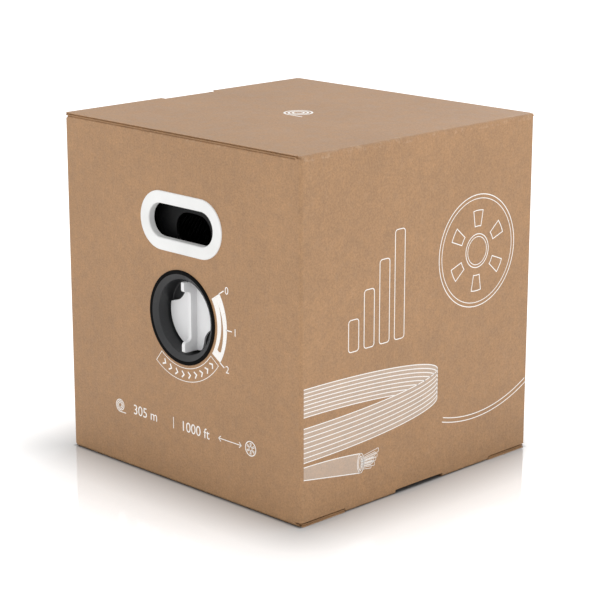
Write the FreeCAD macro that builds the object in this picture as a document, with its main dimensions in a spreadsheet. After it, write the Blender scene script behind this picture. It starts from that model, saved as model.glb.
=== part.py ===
import FreeCAD, Part
import Sketcher
import os
import re

# Cable spool box: a corrugated carton that holds a reel of network cable on two
# plastic journals, with a brake dial in the front journal and a cable port above it.
# Frame: X to the right, Y to the back, Z up; origin at the centre of the base.
# The front panel is at -Y, and the lid is hinged on the right (+X) panel.

doc = FreeCAD.newDocument("CableSpoolBox")
sheet = doc.addObject("Spreadsheet::Sheet", "Sizes")

# Driving dimensions, in millimetres and degrees.
SIZES = [
    ("box_width", 368, "carton, outside, along X"),
    ("box_depth", 361, "carton, outside, along Y"),
    ("box_height", 385, "carton, outside, along Z"),
    ("board", 3, "corrugated board thickness"),
    ("fold_radius", 4, "outside radius of the carton's upright folds"),
    ("flap_gap", 1, "room between flaps that lie in one layer"),
    ("lid_fold_room", 3.2, "from the lid's fold line to the stiff part of the lid"),
    ("glue_width", 35, "glue flap"),
    ("dust_flap_slant", 0.55, "narrowing of a dust flap for each millimetre of its reach"),
    ("dust_flap_start", 5, "from the lid's fold line to a dust flap's fold end"),
    ("dust_flap_reach", 117, "front and back dust flaps, from their folds"),
    ("lock_flange_reach", 60, "flange under the lid's free edge"),
    ("lid_tab_width", 78, "tuck tab"),
    ("lid_tab_length", 25, "tuck tab, below the lid"),
    ("lid_tab_inset", 4.2, "from the left face to the tab's outer side"),
    ("bottom_flap_reach", 65, "front and back bottom flaps"),
    ("bottom_slot_width", 76, "slot in the lower right fold"),
    ("bottom_slot_height", 4.5, "slot in the lower right fold"),
    ("bottom_slot_depth", 14, "slot in the lower right fold"),
    ("relief_height", 4.5, "right panel's end reliefs above the floor"),
    ("pad_size", 136, "square reinforcement pads"),
    ("axis_across", 6, "reel axis, right of the middle of the front"),
    ("axis_height", 188, "reel axis above the floor"),
    ("proud", 1.5, "how far plastic trim stands out of the carton"),
    ("port_height", 289, "cable port's middle above the floor"),
    ("port_length", 100, "cable port opening"),
    ("port_rise", 37, "cable port opening"),
    ("port_wall", 2, "cable port tube"),
    ("port_lip", 13.5, "cable port lip, round the opening"),
    ("port_reach", 7, "cable port tube behind the front face"),
    ("ring_lip", 9, "lock ring of the cable port, round the tube"),
    ("ring_thick", 3, "lock ring of the cable port"),
    ("journal_rim_radius", 51.5, "lip of a journal cup"),
    ("neck_radius", 46.8, "journal cup where it passes through the panel and its pad"),
    ("dish_depth", 3, "bottom of the dished lip behind the carton's face"),
    ("journal_radius", 43, "outside of a journal tube"),
    ("cup_radius", 41, "inside of a journal tube"),
    ("dish_radius", 48, "outer edge of the dished lip"),
    ("journal_reach", 46, "front journal tube behind the front face"),
    ("back_journal_reach", 30, "back journal tube before the back face"),
    ("floor_depth", 22, "front journal floor behind the front face"),
    ("floor_thick", 3, "floor of a journal cup"),
    ("key_width", 6, "keys of the plunger in the slots of the front journal"),
    ("key_room", 0.5, "each side of a key"),
    ("key_radius", 42.4, "tip of a key, from the axis"),
    ("key_slot_depth", 33, "start of the key slots behind the front face"),
    ("back_floor_depth", 3, "back journal's closed floor before the back face"),
    ("nut_radius", 53, "journal lock rings"),
    ("nut_thick", 4, "journal lock rings"),
    ("bore_clearance", 0.5, "reel bore round the journals, on the radius"),
    ("spindle_radius", 7, "dial spindle"),
    ("spindle_clearance", 0.3, "dial spindle in the journal floor, on the radius"),
    ("dial_radius", 38.5, "dial disc"),
    ("dial_depth", 18, "front of the dial disc behind the front face"),
    ("dial_thick", 3, "dial disc"),
    ("grip_thick", 7, "grip rib across the dial"),
    ("grip_depth", 10.5, "crest of the grip rib behind the front face"),
    ("ear_depth", 1, "crest of the raised ends of the grip rib"),
    ("ear_start", 27.5, "raised ends, from the dial's axis"),
    ("notch_side", 13, "notches in the dial, upright side from the axis"),
    ("notch_floor", 10, "notches in the dial, level side from the axis"),
    ("notch_fillet", 14, "notches in the dial, inner corner"),
    ("screw_radius", 2, "dial screw"),
    ("screw_depth", 19.5, "tip of the dial screw behind the front face"),
    ("screw_head_radius", 9, "dial screw head"),
    ("screw_head_thick", 2, "dial screw head"),
    ("cam_depth", 26, "cam disc behind the front face"),
    ("cam_radius", 30, "cam disc"),
    ("cam_thick", 3, "cam disc"),
    ("pin_circle", 24, "cam pins and ramps, from the axis"),
    ("pin_radius", 2.5, "cam pins"),
    ("pin_length", 4, "cam pins behind the cam disc"),
    ("plunger_depth", 36.8, "plunger plate behind the front face"),
    ("plunger_thick", 2.2, "plunger plate"),
    ("plunger_radius", 38, "plunger plate"),
    ("plunger_bore", 8.5, "plunger plate round the spindle"),
    ("ramp_length", 34, "each ramp on the plunger plate"),
    ("ramp_width", 8, "each ramp on the plunger plate"),
    ("ramp_low", 1.3, "low end of each ramp"),
    ("ramp_high", 5.3, "high end of each ramp"),
    ("friction_radius", 28, "brake pad"),
    ("friction_thick", 9.5, "brake pad"),
    ("friction_bore", 10, "brake pad"),
    ("retainer_bore", 30.5, "spring retainer"),
    ("retainer_thick", 2, "spring retainer"),
    ("spring_radius", 34.5, "brake spring, to the middle of its strip"),
    ("spring_width", 4, "brake spring strip"),
    ("spring_strip", 0.6, "brake spring strip, thickness"),
    ("spring_room", 0.1, "brake spring to its two seats"),
    ("crest_width", 5, "where two turns of the brake spring touch"),
    ("flange_radius", 160, "reel flange"),
    ("flange_depth", 16.5, "outer face of a flange's web inside the carton"),
    ("web_thick", 3, "flange web"),
    ("rim_width", 9, "flange rim"),
    ("rim_stand", 2.5, "rim and ribs above the web, outwards"),
    ("rib_width", 3, "radial ribs on a flange"),
    ("rib_start", 62, "radial ribs, from the axis"),
    ("rib_angle", 119, "first rib, from +X towards +Z"),
    ("slot_circle", 92, "middle line of the openings in a flange"),
    ("slot_half_width", 18.5, "openings in a flange"),
    ("slot_sweep", 11, "openings in a flange, angle of the middle line"),
    ("barrel_radius", 70, "reel barrel, outside"),
    ("barrel_wall", 3, "reel barrel"),
    ("hub_wall", 3.4, "hub sleeves"),
    ("hub_flange_thick", 4, "hub flange inside the barrel"),
    ("hub_web_depth", 50.3, "brake web of the front hub behind the front face"),
    ("hub_web_thick", 3.7, "brake web of the front hub"),
    ("hub_web_bore", 12, "brake web of the front hub"),
    ("bolt_circle", 57, "reel bolts, from the axis"),
    ("bolt_radius", 2.5, "reel bolts"),
    ("bolt_room", 0.1, "bolt holes round the bolts, on the radius"),
    ("bolt_head_radius", 4.5, "reel bolt heads and nuts"),
    ("bolt_head_thick", 2.5, "reel bolt heads and nuts"),
    ("winding_radius", 131, "outside of the wound cable"),
    ("winding_room", 0.5, "wound cable to the flanges"),
    ("pin_angle", 90, "first cam pin and ramp, round the axis from +X towards +Z"),
    ("key_angle", 30, "first plunger key, round the axis"),
    ("bolt_angle", 29, "first reel bolt, round the axis"),
    ("overlap", 1, "by which a joined bar or a cutter reaches into its neighbour"),
]

FUNCTIONS = ("cos", "sin")
RIBS = 6
BOLTS = 6
RAMPS = 3
SPRING_LEAVES = 3
SPRING_CRESTS = 3
FULL_TURN = 360
QUARTER_TURN = 90
TO_Y = FreeCAD.Rotation(FreeCAD.Vector(1, 0, 0), -QUARTER_TURN)

for number, (alias, amount, note) in enumerate(SIZES, start=1):
    sheet.set("A%d" % number, note)
    sheet.set("B%d" % number, str(amount))
    sheet.setAlias("B%d" % number, alias)
doc.recompute()


def in_sheet(formula):
    """The formula with each alias pointed at the sheet."""
    def cell(word):
        return word.group() if word.group() in FUNCTIONS else "Sizes." + word.group()
    return re.sub(r"[a-z][a-z_]*", cell, str(formula))


def value(formula):
    """The formula's number."""
    return float(sheet.evalExpression(in_sheet(formula)))


def bind(item, prop, formula):
    item.setExpression(prop, in_sheet(formula))


def place(item, x, y, z):
    bind(item, "Placement.Base.x", x)
    bind(item, "Placement.Base.y", y)
    bind(item, "Placement.Base.z", z)


def block(name, x, y, z):
    """A bar or a sheet of board between low and high formulas along X, Y and Z."""
    item = doc.addObject("Part::Box", name)
    for prop, (low, high) in (("Length", x), ("Width", y), ("Height", z)):
        bind(item, prop, "(%s) - (%s)" % (high, low))
    place(item, x[0], y[0], z[0])
    return item


def rod(name, radius, y, x="axis_across", z="axis_height"):
    """A round bar along Y, between the two formulas of y."""
    item = doc.addObject("Part::Cylinder", name)
    bind(item, "Radius", radius)
    bind(item, "Height", "(%s) - (%s)" % (y[1], y[0]))
    item.Placement.Rotation = TO_Y
    place(item, x, y[0], z)
    return item


def taper(name, radii, y):
    """A cone along Y on the reel's axis."""
    item = doc.addObject("Part::Cone", name)
    bind(item, "Radius1", radii[0])
    bind(item, "Radius2", radii[1])
    bind(item, "Height", "(%s) - (%s)" % (y[1], y[0]))
    item.Placement.Rotation = TO_Y
    place(item, "axis_across", y[0], "axis_height")
    return item


def join(name, items):
    item = doc.addObject("Part::MultiFuse", name)
    item.Shapes = items
    item.Refine = True
    return item


def cut(name, base, tool):
    item = doc.addObject("Part::Cut", name)
    item.Base = base
    item.Tool = tool
    item.Refine = True
    return item


def ring(name, outer, inner, y):
    """A tube or a washer on the reel's axis."""
    return cut(name, rod(name + "_outside", outer, y), rod(name + "_inside", inner, y))


def spoke(name, angle, radii, y, width):
    """A bar that points away from the reel's axis; the angle runs from +X towards +Z."""
    item = doc.addObject("Part::Box", name)
    bind(item, "Length", "(%s) - (%s)" % (radii[1], radii[0]))
    bind(item, "Width", "(%s) - (%s)" % (y[1], y[0]))
    bind(item, "Height", width)
    turn = FreeCAD.Rotation(FreeCAD.Vector(0, 1, 0), -angle)
    corner = FreeCAD.Vector(value(radii[0]), value(y[0]), -value(width) / 2)
    centre = FreeCAD.Vector(value("axis_across"), 0, value("axis_height"))
    item.Placement = FreeCAD.Placement(centre + turn.multVec(corner), turn)
    return item


def all_round(count, first):
    """Evenly spaced angles round the reel's axis."""
    return [first + FULL_TURN / count * number for number in range(count)]


def on_circle(radius, angle):
    """Formulas for X and Z of a point round the reel's axis."""
    across = "axis_across + %s * cos(%s)" % (radius, angle)
    up = "axis_height + %s * sin(%s)" % (radius, angle)
    return across, up


def stadium(name, length, rise, y):
    """A bar along Y with a round-ended section, at the cable port."""
    radius = "(%s) / 2" % rise
    half = "((%s) - (%s)) / 2" % (length, rise)
    left = "axis_across - " + half
    right = "axis_across + " + half
    levels = ("port_height - " + radius, "port_height + " + radius)
    return join(name, [
        block(name + "_middle", (left, right), y, levels),
        rod(name + "_left", radius, y, left, "port_height"),
        rod(name + "_right", radius, y, right, "port_height"),
    ])


def board_sheet(name, corners, floor):
    """A flat piece of board, cut to the corners and laid at a height: a padded sketch."""
    body = doc.addObject("PartDesign::Body", name)
    plan = body.newObject("Sketcher::SketchObject", name + "_plan")
    plane = [item for item in body.Origin.OriginFeatures if item.Role == "XY_Plane"][0]
    plan.AttachmentSupport = [(plane, "")]
    plan.MapMode = "FlatFace"
    spots = [FreeCAD.Vector(value(x), value(y), 0) for x, y in corners]
    for spot, after in zip(spots, spots[1:] + spots[:1]):
        plan.addGeometry(Part.LineSegment(spot, after), False)
    for edge, (x, y) in enumerate(corners):
        edge_before = (edge - 1) % len(corners)
        plan.addConstraint(Sketcher.Constraint("Coincident", edge_before, 2, edge, 1))
        for kind, formula in (("DistanceX", x), ("DistanceY", y)):
            number = plan.addConstraint(Sketcher.Constraint(kind, -1, 1, edge, 1, value(formula)))
            bind(plan, "Constraints[%d]" % number, formula)
    pad = body.newObject("PartDesign::Pad", name + "_board")
    pad.Profile = plan
    bind(pad, "Length", "board")
    place(body, "0", "0", floor)
    return body


def mirrored(formula):
    """The same place on the other side."""
    return "-(%s)" % formula


# Places that many pieces share.
RIGHT = "box_width / 2"
LEFT = "-box_width / 2"
BACK = "box_depth / 2"
FRONT = "-box_depth / 2"
LID_FLOOR = "box_height - board"
FLAP_FLOOR = "box_height - 2 * board"
UNDER_FLAP = ("board", FLAP_FLOOR)


def behind(depth):
    """Y of a place behind the carton's front face."""
    return "%s + (%s)" % (FRONT, depth)


def before(depth):
    """Y of a place before the carton's back face."""
    return "%s - (%s)" % (BACK, depth)


# ---------------------------------------------------------------- carton: upright panels

FOLD_X = (RIGHT + " - fold_radius", LEFT + " + fold_radius")
FOLD_Y = (BACK + " - fold_radius", FRONT + " + fold_radius")


def upright_fold(name, x, y, quarter):
    """A quarter round of board about a corner's centre; quarter counts from the back right one."""
    rounds = []
    for part, radius in (("_outside", "fold_radius"), ("_inside", "fold_radius - board")):
        round_bar = doc.addObject("Part::Cylinder", name + part)
        bind(round_bar, "Radius", radius)
        bind(round_bar, "Height", "%s - board" % FLAP_FLOOR)
        round_bar.Angle = QUARTER_TURN
        round_bar.Placement.Rotation = FreeCAD.Rotation(FreeCAD.Vector(0, 0, 1), QUARTER_TURN * quarter)
        place(round_bar, x, y, "board")
        rounds.append(round_bar)
    return cut(name, rounds[0], rounds[1])


def corner_panel(name, flat, fold_y, left_quarter, right_quarter):
    """A front or back panel with the rounded upright folds at both ends."""
    return join(name + "_board", [
        block(name + "_flat", (FOLD_X[1], FOLD_X[0]), flat, UNDER_FLAP),
        upright_fold(name + "_left_fold", FOLD_X[1], fold_y, left_quarter),
        upright_fold(name + "_right_fold", FOLD_X[0], fold_y, right_quarter),
    ])


front_blank = corner_panel("front_panel", (FRONT, behind("board")), FOLD_Y[1], 2, 3)
OPENING = ("port_length", "port_rise")
TUBE = ("port_length + 2 * port_wall", "port_rise + 2 * port_wall")
front_openings = join("front_openings", [
    rod("front_journal_hole", "neck_radius", (FRONT, behind("board"))),
    stadium("port_hole", TUBE[0], TUBE[1], (FRONT, behind("board"))),
])
front_panel = cut("front_panel", front_blank, front_openings)

back_blank = corner_panel("back_panel", (before("board"), BACK), FOLD_Y[0], 1, 0)
back_hole = rod("back_journal_hole", "neck_radius", (before("board"), BACK))
back_panel = cut("back_panel", back_blank, back_hole)

SIDE_SPAN = (FOLD_Y[1], FOLD_Y[0])
RIGHT_BOARD = (RIGHT + " - board", RIGHT)
BOTTOM_SLOT = ((RIGHT + " - bottom_slot_depth", RIGHT), ("-bottom_slot_width / 2", "bottom_slot_width / 2"))
RELIEF = "box_depth / 2 - bottom_flap_reach"
right_blank = block("right_blank", RIGHT_BOARD, SIDE_SPAN, ("board", LID_FLOOR))
right_cuts = join("right_cuts", [
    block("bottom_slot", BOTTOM_SLOT[0], BOTTOM_SLOT[1], ("0", "bottom_slot_height")),
    block("front_relief", RIGHT_BOARD, (FRONT, mirrored(RELIEF)), ("0", "relief_height")),
    block("back_relief", RIGHT_BOARD, (RELIEF, BACK), ("0", "relief_height")),
])
right_panel = cut("right_panel", right_blank, right_cuts)
left_panel = block("left_panel", (LEFT, LEFT + " + board"), SIDE_SPAN, UNDER_FLAP)
glue_flap = block(
    "glue_flap",
    (LEFT + " + board + fold_radius", LEFT + " + board + glue_width"),
    (BACK + " - 2 * board", BACK + " - board"),
    ("2 * board + flap_gap", FLAP_FLOOR + " - flap_gap"),
)

# ---------------------------------------------------------------- carton: floor

GROUND = ("0", "board")
ACROSS = (LEFT, RIGHT)
BETWEEN = (mirrored(RELIEF) + " + flap_gap", RELIEF + " - flap_gap")
front_bottom_flap = block("front_bottom_flap", ACROSS, (FRONT, mirrored(RELIEF)), GROUND)
back_bottom_flap = block("back_bottom_flap", ACROSS, (RELIEF, BACK), GROUND)
right_bottom_blank = block("right_bottom_blank", ("flap_gap / 2", RIGHT), BETWEEN, GROUND)
bottom_slot_floor = block("bottom_slot_floor", BOTTOM_SLOT[0], BOTTOM_SLOT[1], GROUND)
right_bottom_flap = cut("right_bottom_flap", right_bottom_blank, bottom_slot_floor)
left_bottom_flap = block("left_bottom_flap", (LEFT, "-flap_gap / 2"), BETWEEN, GROUND)
bottom_pad = block(
    "bottom_pad",
    (LEFT + " + board + flap_gap", RIGHT + " - board - flap_gap"),
    (FRONT + " + board + flap_gap", BACK + " - board - flap_gap"),
    ("board", "2 * board"),
)

# ---------------------------------------------------------------- carton: reinforcement pads

def bearing_pad(name, y):
    """A square of board glued inside a panel, round the journal's neck."""
    blank = block(
        name + "_blank",
        ("axis_across - pad_size / 2", "axis_across + pad_size / 2"),
        y,
        ("axis_height - pad_size / 2", "axis_height + pad_size / 2"),
    )
    return cut(name, blank, rod(name + "_hole", "neck_radius", y))


front_pad = bearing_pad("front_pad", (behind("board"), behind("2 * board")))
back_pad = bearing_pad("back_pad", (before("2 * board"), before("board")))

# ---------------------------------------------------------------- carton: lid and inner flaps

TAB_SIDE = LEFT + " + lid_tab_inset"
lid_blank = block(
    "lid_blank",
    (LEFT, RIGHT + " - board - lid_fold_room"),
    (FRONT, BACK),
    (LID_FLOOR, "box_height"),
)
tab_recess = block(
    "tab_recess",
    (LEFT, TAB_SIDE),
    ("-lid_tab_width / 2 - flap_gap", "lid_tab_width / 2 + flap_gap"),
    (LID_FLOOR, "box_height"),
)
lid = cut("lid", lid_blank, tab_recess)
lid_tab = block(
    "lid_tab",
    (TAB_SIDE, TAB_SIDE + " + board"),
    ("-lid_tab_width / 2", "lid_tab_width / 2"),
    (LID_FLOOR + " - lid_tab_length", LID_FLOOR),
)


def dust_flap(name, side):
    """An inner flap: mitred against the lock flange, and narrowed under the lid's fold."""
    fold = "box_depth / 2 - board"
    tip = "(%s - dust_flap_reach)" % fold
    knee = "(%s - lock_flange_reach)" % fold
    near_left = LEFT + " + board + flap_gap"
    far_left = near_left + " + lock_flange_reach"
    near_right = RIGHT + " - board - dust_flap_start"
    far_right = near_right + " - dust_flap_slant * dust_flap_reach"
    outline = [(near_left, fold), (far_left, knee), (far_left, tip), (far_right, tip), (near_right, fold)]
    corners = [(x, "%s * (%s)" % (side, y)) for x, y in outline]
    return board_sheet(name, corners, FLAP_FLOOR)


front_dust_flap = dust_flap("front_dust_flap", "-1")
back_dust_flap = dust_flap("back_dust_flap", "1")

FLANGE_END = "box_depth / 2 - board - flap_gap"
FLANGE_EDGE = LEFT + " + board + lock_flange_reach"
lock_blank = board_sheet("lock_blank", [
    (LEFT + " + board", "-(%s)" % FLANGE_END),
    (FLANGE_EDGE, "-(%s - lock_flange_reach)" % FLANGE_END),
    (FLANGE_EDGE, "%s - lock_flange_reach" % FLANGE_END),
    (LEFT + " + board", FLANGE_END),
], FLAP_FLOOR)
lock_slot = block(
    "lock_slot",
    (LEFT + " + board", TAB_SIDE + " + 2 * board"),
    ("-lid_tab_width / 2 - board", "lid_tab_width / 2 + board"),
    (FLAP_FLOOR, LID_FLOOR),
)
lock_flange = cut("lock_flange", lock_blank, lock_slot)

# ---------------------------------------------------------------- cable port

LIP = ("port_length + 2 * port_lip", "port_rise + 2 * port_lip")
LOCK = ("port_length + 2 * port_wall + 2 * ring_lip", "port_rise + 2 * port_wall + 2 * ring_lip")
port_solid = join("port_solid", [
    stadium("port_lip", LIP[0], LIP[1], (behind("-proud"), FRONT)),
    stadium("port_tube", TUBE[0], TUBE[1], (FRONT, behind("port_reach"))),
])
PORT_Y = (behind("-proud"), behind("port_reach"))
port_opening = stadium("port_opening", OPENING[0], OPENING[1], PORT_Y)
cable_port = cut("cable_port", port_solid, port_opening)

RING_Y = (behind("board"), behind("board + ring_thick"))
ring_solid = stadium("port_ring_solid", LOCK[0], LOCK[1], RING_Y)
ring_opening = stadium("port_ring_opening", TUBE[0], TUBE[1], RING_Y)
cable_port_ring = cut("cable_port_ring", ring_solid, ring_opening)

# ---------------------------------------------------------------- journals

KEY_ANGLES = all_round(RAMPS, value("key_angle"))
PIN_ANGLES = all_round(RAMPS, value("pin_angle"))
TUBE_END = behind("journal_reach")
BACK_TUBE_END = before("back_journal_reach")
NUT_Y = (behind("2 * board"), behind("2 * board + nut_thick"))
BACK_NUT_Y = (before("2 * board + nut_thick"), before("2 * board"))

front_journal_solid = join("front_journal_solid", [
    rod("front_lip", "journal_rim_radius", (behind("-proud"), FRONT)),
    rod("front_neck", "neck_radius", (FRONT, behind("2 * board"))),
    rod("front_tube", "journal_radius", (behind("2 * board"), TUBE_END)),
])
SLOT_RADII = ("cup_radius - overlap", "journal_radius + overlap")
SLOT_Y = (behind("key_slot_depth"), TUBE_END)
key_slots = [
    spoke("key_slot_%d" % number, angle, SLOT_RADII, SLOT_Y, "key_width + 2 * key_room")
    for number, angle in enumerate(KEY_ANGLES)
]
front_journal_hollow = join("front_journal_hollow", [
    taper("front_dish", ("dish_radius", "cup_radius"), (behind("-proud"), behind("dish_depth"))),
    rod("front_cup", "cup_radius", (behind("dish_depth"), behind("floor_depth"))),
    rod("front_chamber", "cup_radius", (behind("floor_depth + floor_thick"), TUBE_END)),
    rod("spindle_bore", "spindle_radius + spindle_clearance", (FRONT, TUBE_END)),
] + key_slots)
front_journal = cut("front_journal", front_journal_solid, front_journal_hollow)
front_journal_ring = ring("front_journal_ring", "nut_radius", "journal_radius", NUT_Y)

back_journal_solid = join("back_journal_solid", [
    rod("back_lip", "journal_rim_radius", (BACK, before("-proud"))),
    rod("back_neck", "neck_radius", (before("2 * board"), BACK)),
    rod("back_tube", "journal_radius", (BACK_TUBE_END, before("2 * board"))),
])
back_journal_hollow = join("back_journal_hollow", [
    taper("back_dish", ("cup_radius", "dish_radius"), (before("back_floor_depth"), before("-proud"))),
    rod("back_chamber", "cup_radius", (BACK_TUBE_END, before("back_floor_depth + floor_thick"))),
])
back_journal = cut("back_journal", back_journal_solid, back_journal_hollow)
back_journal_ring = ring("back_journal_ring", "nut_radius", "journal_radius", BACK_NUT_Y)
RETAINER_Y = (behind("journal_reach - retainer_thick"), TUBE_END)
spring_retainer = ring("spring_retainer", "cup_radius", "retainer_bore", RETAINER_Y)

# ---------------------------------------------------------------- brake dial

DISC_Y = (behind("dial_depth"), behind("dial_depth + dial_thick"))


def dial_notch(name, side):
    """A finger notch in the disc, with a round inner corner; side is 1 for the lower right one."""
    reach = "dial_radius + overlap"
    near = "notch_side"
    level = "notch_floor"
    soft_x = "notch_side + notch_fillet"
    soft_z = "notch_floor + notch_fillet"

    def along(low, high, centre, sign):
        ends = ["%s + %s * (%s)" % (centre, sign, end) for end in (low, high)]
        return ends if sign > 0 else ends[::-1]

    wide = block(name + "_wide", along(soft_x, reach, "axis_across", side), DISC_Y,
                 along(level, reach, "axis_height", -side))
    tall = block(name + "_tall", along(near, reach, "axis_across", side), DISC_Y,
                 along(soft_z, reach, "axis_height", -side))
    corner_x = "axis_across + %d * (%s)" % (side, soft_x)
    corner_z = "axis_height - %d * (%s)" % (side, soft_z)
    corner = rod(name + "_corner", "notch_fillet", DISC_Y, corner_x, corner_z)
    return join(name, [wide, tall, corner])


dial_disc = cut(
    "dial_disc",
    rod("dial_plate", "dial_radius", DISC_Y),
    join("dial_notches", [dial_notch("lower_notch", 1), dial_notch("upper_notch", -1)]),
)
GRIP_X = ("axis_across - grip_thick / 2", "axis_across + grip_thick / 2")
RIB_Y = (behind("grip_depth"), behind("dial_depth"))
EAR_Y = (behind("ear_depth"), behind("dial_depth"))
DIAL_TOP = "axis_height + dial_radius"
DIAL_FOOT = "axis_height - dial_radius"
dial_grip = doc.addObject("Part::Common", "dial_grip")
dial_grip.Base = join("grip_blank", [
    block("grip_rib", GRIP_X, RIB_Y, (DIAL_FOOT, DIAL_TOP)),
    block("upper_ear", GRIP_X, EAR_Y, ("axis_height + ear_start", DIAL_TOP)),
    block("lower_ear", GRIP_X, EAR_Y, (DIAL_FOOT, "axis_height - ear_start")),
])
dial_grip.Tool = rod("grip_round", "dial_radius", EAR_Y)

CAM_BACK = "cam_depth + cam_thick"
SCREW_HEAD_Y = (behind(CAM_BACK), behind(CAM_BACK + " + screw_head_thick"))
dial_solid = join("dial_solid", [
    dial_disc,
    dial_grip,
    rod("dial_spindle", "spindle_radius", (behind("dial_depth"), behind(CAM_BACK))),
])
screw_hole = rod("screw_hole", "screw_radius", (behind("screw_depth"), behind(CAM_BACK)))
brake_dial = cut("brake_dial", dial_solid, screw_hole)
dial_screw = join("dial_screw", [
    rod("screw_shank", "screw_radius", (behind("screw_depth"), behind(CAM_BACK))),
    rod("screw_head", "screw_head_radius", SCREW_HEAD_Y),
])

# ---------------------------------------------------------------- brake behind the journal floor

PIN_Y = (behind(CAM_BACK), behind(CAM_BACK + " + pin_length"))
cam_pins = []
for number, angle in enumerate(PIN_ANGLES):
    pin_x, pin_z = on_circle("pin_circle", angle)
    cam_pins.append(rod("cam_pin_%d" % number, "pin_radius", PIN_Y, pin_x, pin_z))
cam_disc = ring("cam_disc", "cam_radius", "spindle_radius", (behind("cam_depth"), behind(CAM_BACK)))
brake_cam = join("brake_cam", [cam_disc] + cam_pins)

PLATE_Y = (behind("plunger_depth"), behind("plunger_depth + plunger_thick"))
RISE_AXES = (FreeCAD.Vector(1, 0, 0), FreeCAD.Vector(0, 0, 1), FreeCAD.Vector(0, -1, 0))


def ramp(name, angle):
    """A wedge on the plunger plate; it is highest where a pin ends when the dial is fully clockwise."""
    item = doc.addObject("Part::Wedge", name)
    for prop, formula in (
        ("Xmin", "-ramp_width / 2"), ("Xmax", "ramp_width / 2"),
        ("X2min", "-ramp_width / 2"), ("X2max", "ramp_width / 2"),
        ("Ymin", "-ramp_length / 2"), ("Ymax", "ramp_length / 2"),
        ("Zmin", "0"), ("Zmax", "ramp_high"),
        ("Z2min", "0"), ("Z2max", "ramp_low"),
    ):
        bind(item, prop, formula)
    outwards = FreeCAD.Rotation(FreeCAD.Vector(0, 1, 0), -angle)
    stand = FreeCAD.Rotation(*RISE_AXES, "ZXY")
    centre = FreeCAD.Vector(value("axis_across"), value(PLATE_Y[0]), value("axis_height"))
    spot = centre + outwards.multVec(FreeCAD.Vector(value("pin_circle"), 0, 0))
    item.Placement = FreeCAD.Placement(spot, outwards.multiply(stand))
    return item


ramps = [ramp("ramp_%d" % number, angle) for number, angle in enumerate(PIN_ANGLES)]
KEY_RADII = ("plunger_radius - overlap", "key_radius")
keys = [
    spoke("key_%d" % number, angle, KEY_RADII, PLATE_Y, "key_width")
    for number, angle in enumerate(KEY_ANGLES)
]
plunger_plate = ring("plunger_plate", "plunger_radius", "plunger_bore", PLATE_Y)
brake_plunger = join("brake_plunger", [plunger_plate] + keys + ramps)
PAD_Y = (PLATE_Y[1], behind("plunger_depth + plunger_thick + friction_thick"))
brake_pad = ring("brake_pad", "friction_radius", "friction_bore", PAD_Y)

# A wave spring presses the plunger back onto the cam pins: flat rings that touch at their crests.
SPRING_RADII = ("spring_radius - spring_width / 2", "spring_radius + spring_width / 2")
SPRING_START = "(plunger_depth + plunger_thick + spring_room)"
SPRING_END = "(journal_reach - retainer_thick - spring_room)"
SPRING_STEP = "(%s - spring_strip - %s) / %d" % (SPRING_END, SPRING_START, SPRING_LEAVES - 1)
leaf_starts = ["%s + %d * %s" % (SPRING_START, number, SPRING_STEP) for number in range(SPRING_LEAVES)]
leaves = []
for number, leaf_start in enumerate(leaf_starts):
    leaf_y = (behind(leaf_start), behind(leaf_start + " + spring_strip"))
    leaves.append(ring("spring_leaf_%d" % number, SPRING_RADII[1], SPRING_RADII[0], leaf_y))
crests = []
for gap, (lower, upper) in enumerate(zip(leaf_starts, leaf_starts[1:])):
    crest_y = (behind(lower + " + spring_strip"), behind(upper))
    first = gap * FULL_TURN / SPRING_CRESTS / 2
    for number, angle in enumerate(all_round(SPRING_CRESTS, first)):
        name = "spring_crest_%d_%d" % (gap, number)
        crests.append(spoke(name, angle, SPRING_RADII, crest_y, "crest_width"))
brake_spring = join("brake_spring", leaves + crests)

# ---------------------------------------------------------------- reel

BORE = "journal_radius + bore_clearance"
SLEEVE = "journal_radius + bore_clearance + hub_wall"
BARREL_INSIDE = "barrel_radius - barrel_wall"
BOLT_ANGLES = all_round(BOLTS, value("bolt_angle"))


def bolt_holes(name, y):
    holes = []
    for number, angle in enumerate(BOLT_ANGLES):
        x, z = on_circle("bolt_circle", angle)
        holes.append(rod("%s_%d" % (name, number), "bolt_radius + bolt_room", y, x, z))
    return holes


def curved_slot(name, angle, y):
    """An opening in a flange that follows the circle, with round ends; angle is its middle."""
    start = angle + value("slot_sweep") / 2
    parts = []
    for part, sign in (("_far", "+"), ("_near", "-")):
        sector = rod(name + part, "slot_circle %s slot_half_width" % sign, y)
        bind(sector, "Angle", "slot_sweep")
        sector.Placement.Rotation = FreeCAD.Rotation(FreeCAD.Vector(0, 1, 0), -start).multiply(TO_Y)
        parts.append(sector)
    ends = []
    for number, side in enumerate((start, start - value("slot_sweep"))):
        x, z = on_circle("slot_circle", side)
        ends.append(rod("%s_end_%d" % (name, number), "slot_half_width", y, x, z))
    return join(name, [cut(name + "_arc", parts[0], parts[1])] + ends)


def flange(name, web, stand):
    """A reel flange: a pierced web with radial ribs and a rim that stand outwards."""
    rim_inside = "flange_radius - rim_width"
    solid = [
        rod(name + "_web", "flange_radius", web),
        ring(name + "_rim", "flange_radius", rim_inside, stand),
    ]
    first = value("rib_angle")
    for number, angle in enumerate(all_round(RIBS, first)):
        radii = ("rib_start", rim_inside + " + overlap")
        solid.append(spoke("%s_rib_%d" % (name, number), angle, radii, stand, "rib_width"))
    openings = [rod(name + "_bore", SLEEVE, web)] + bolt_holes(name + "_hole", web)
    for number, angle in enumerate(all_round(RIBS, first + FULL_TURN / RIBS / 2)):
        openings.append(curved_slot("%s_slot_%d" % (name, number), angle, web))
    return cut(name, join(name + "_solid", solid), join(name + "_openings", openings))


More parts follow.
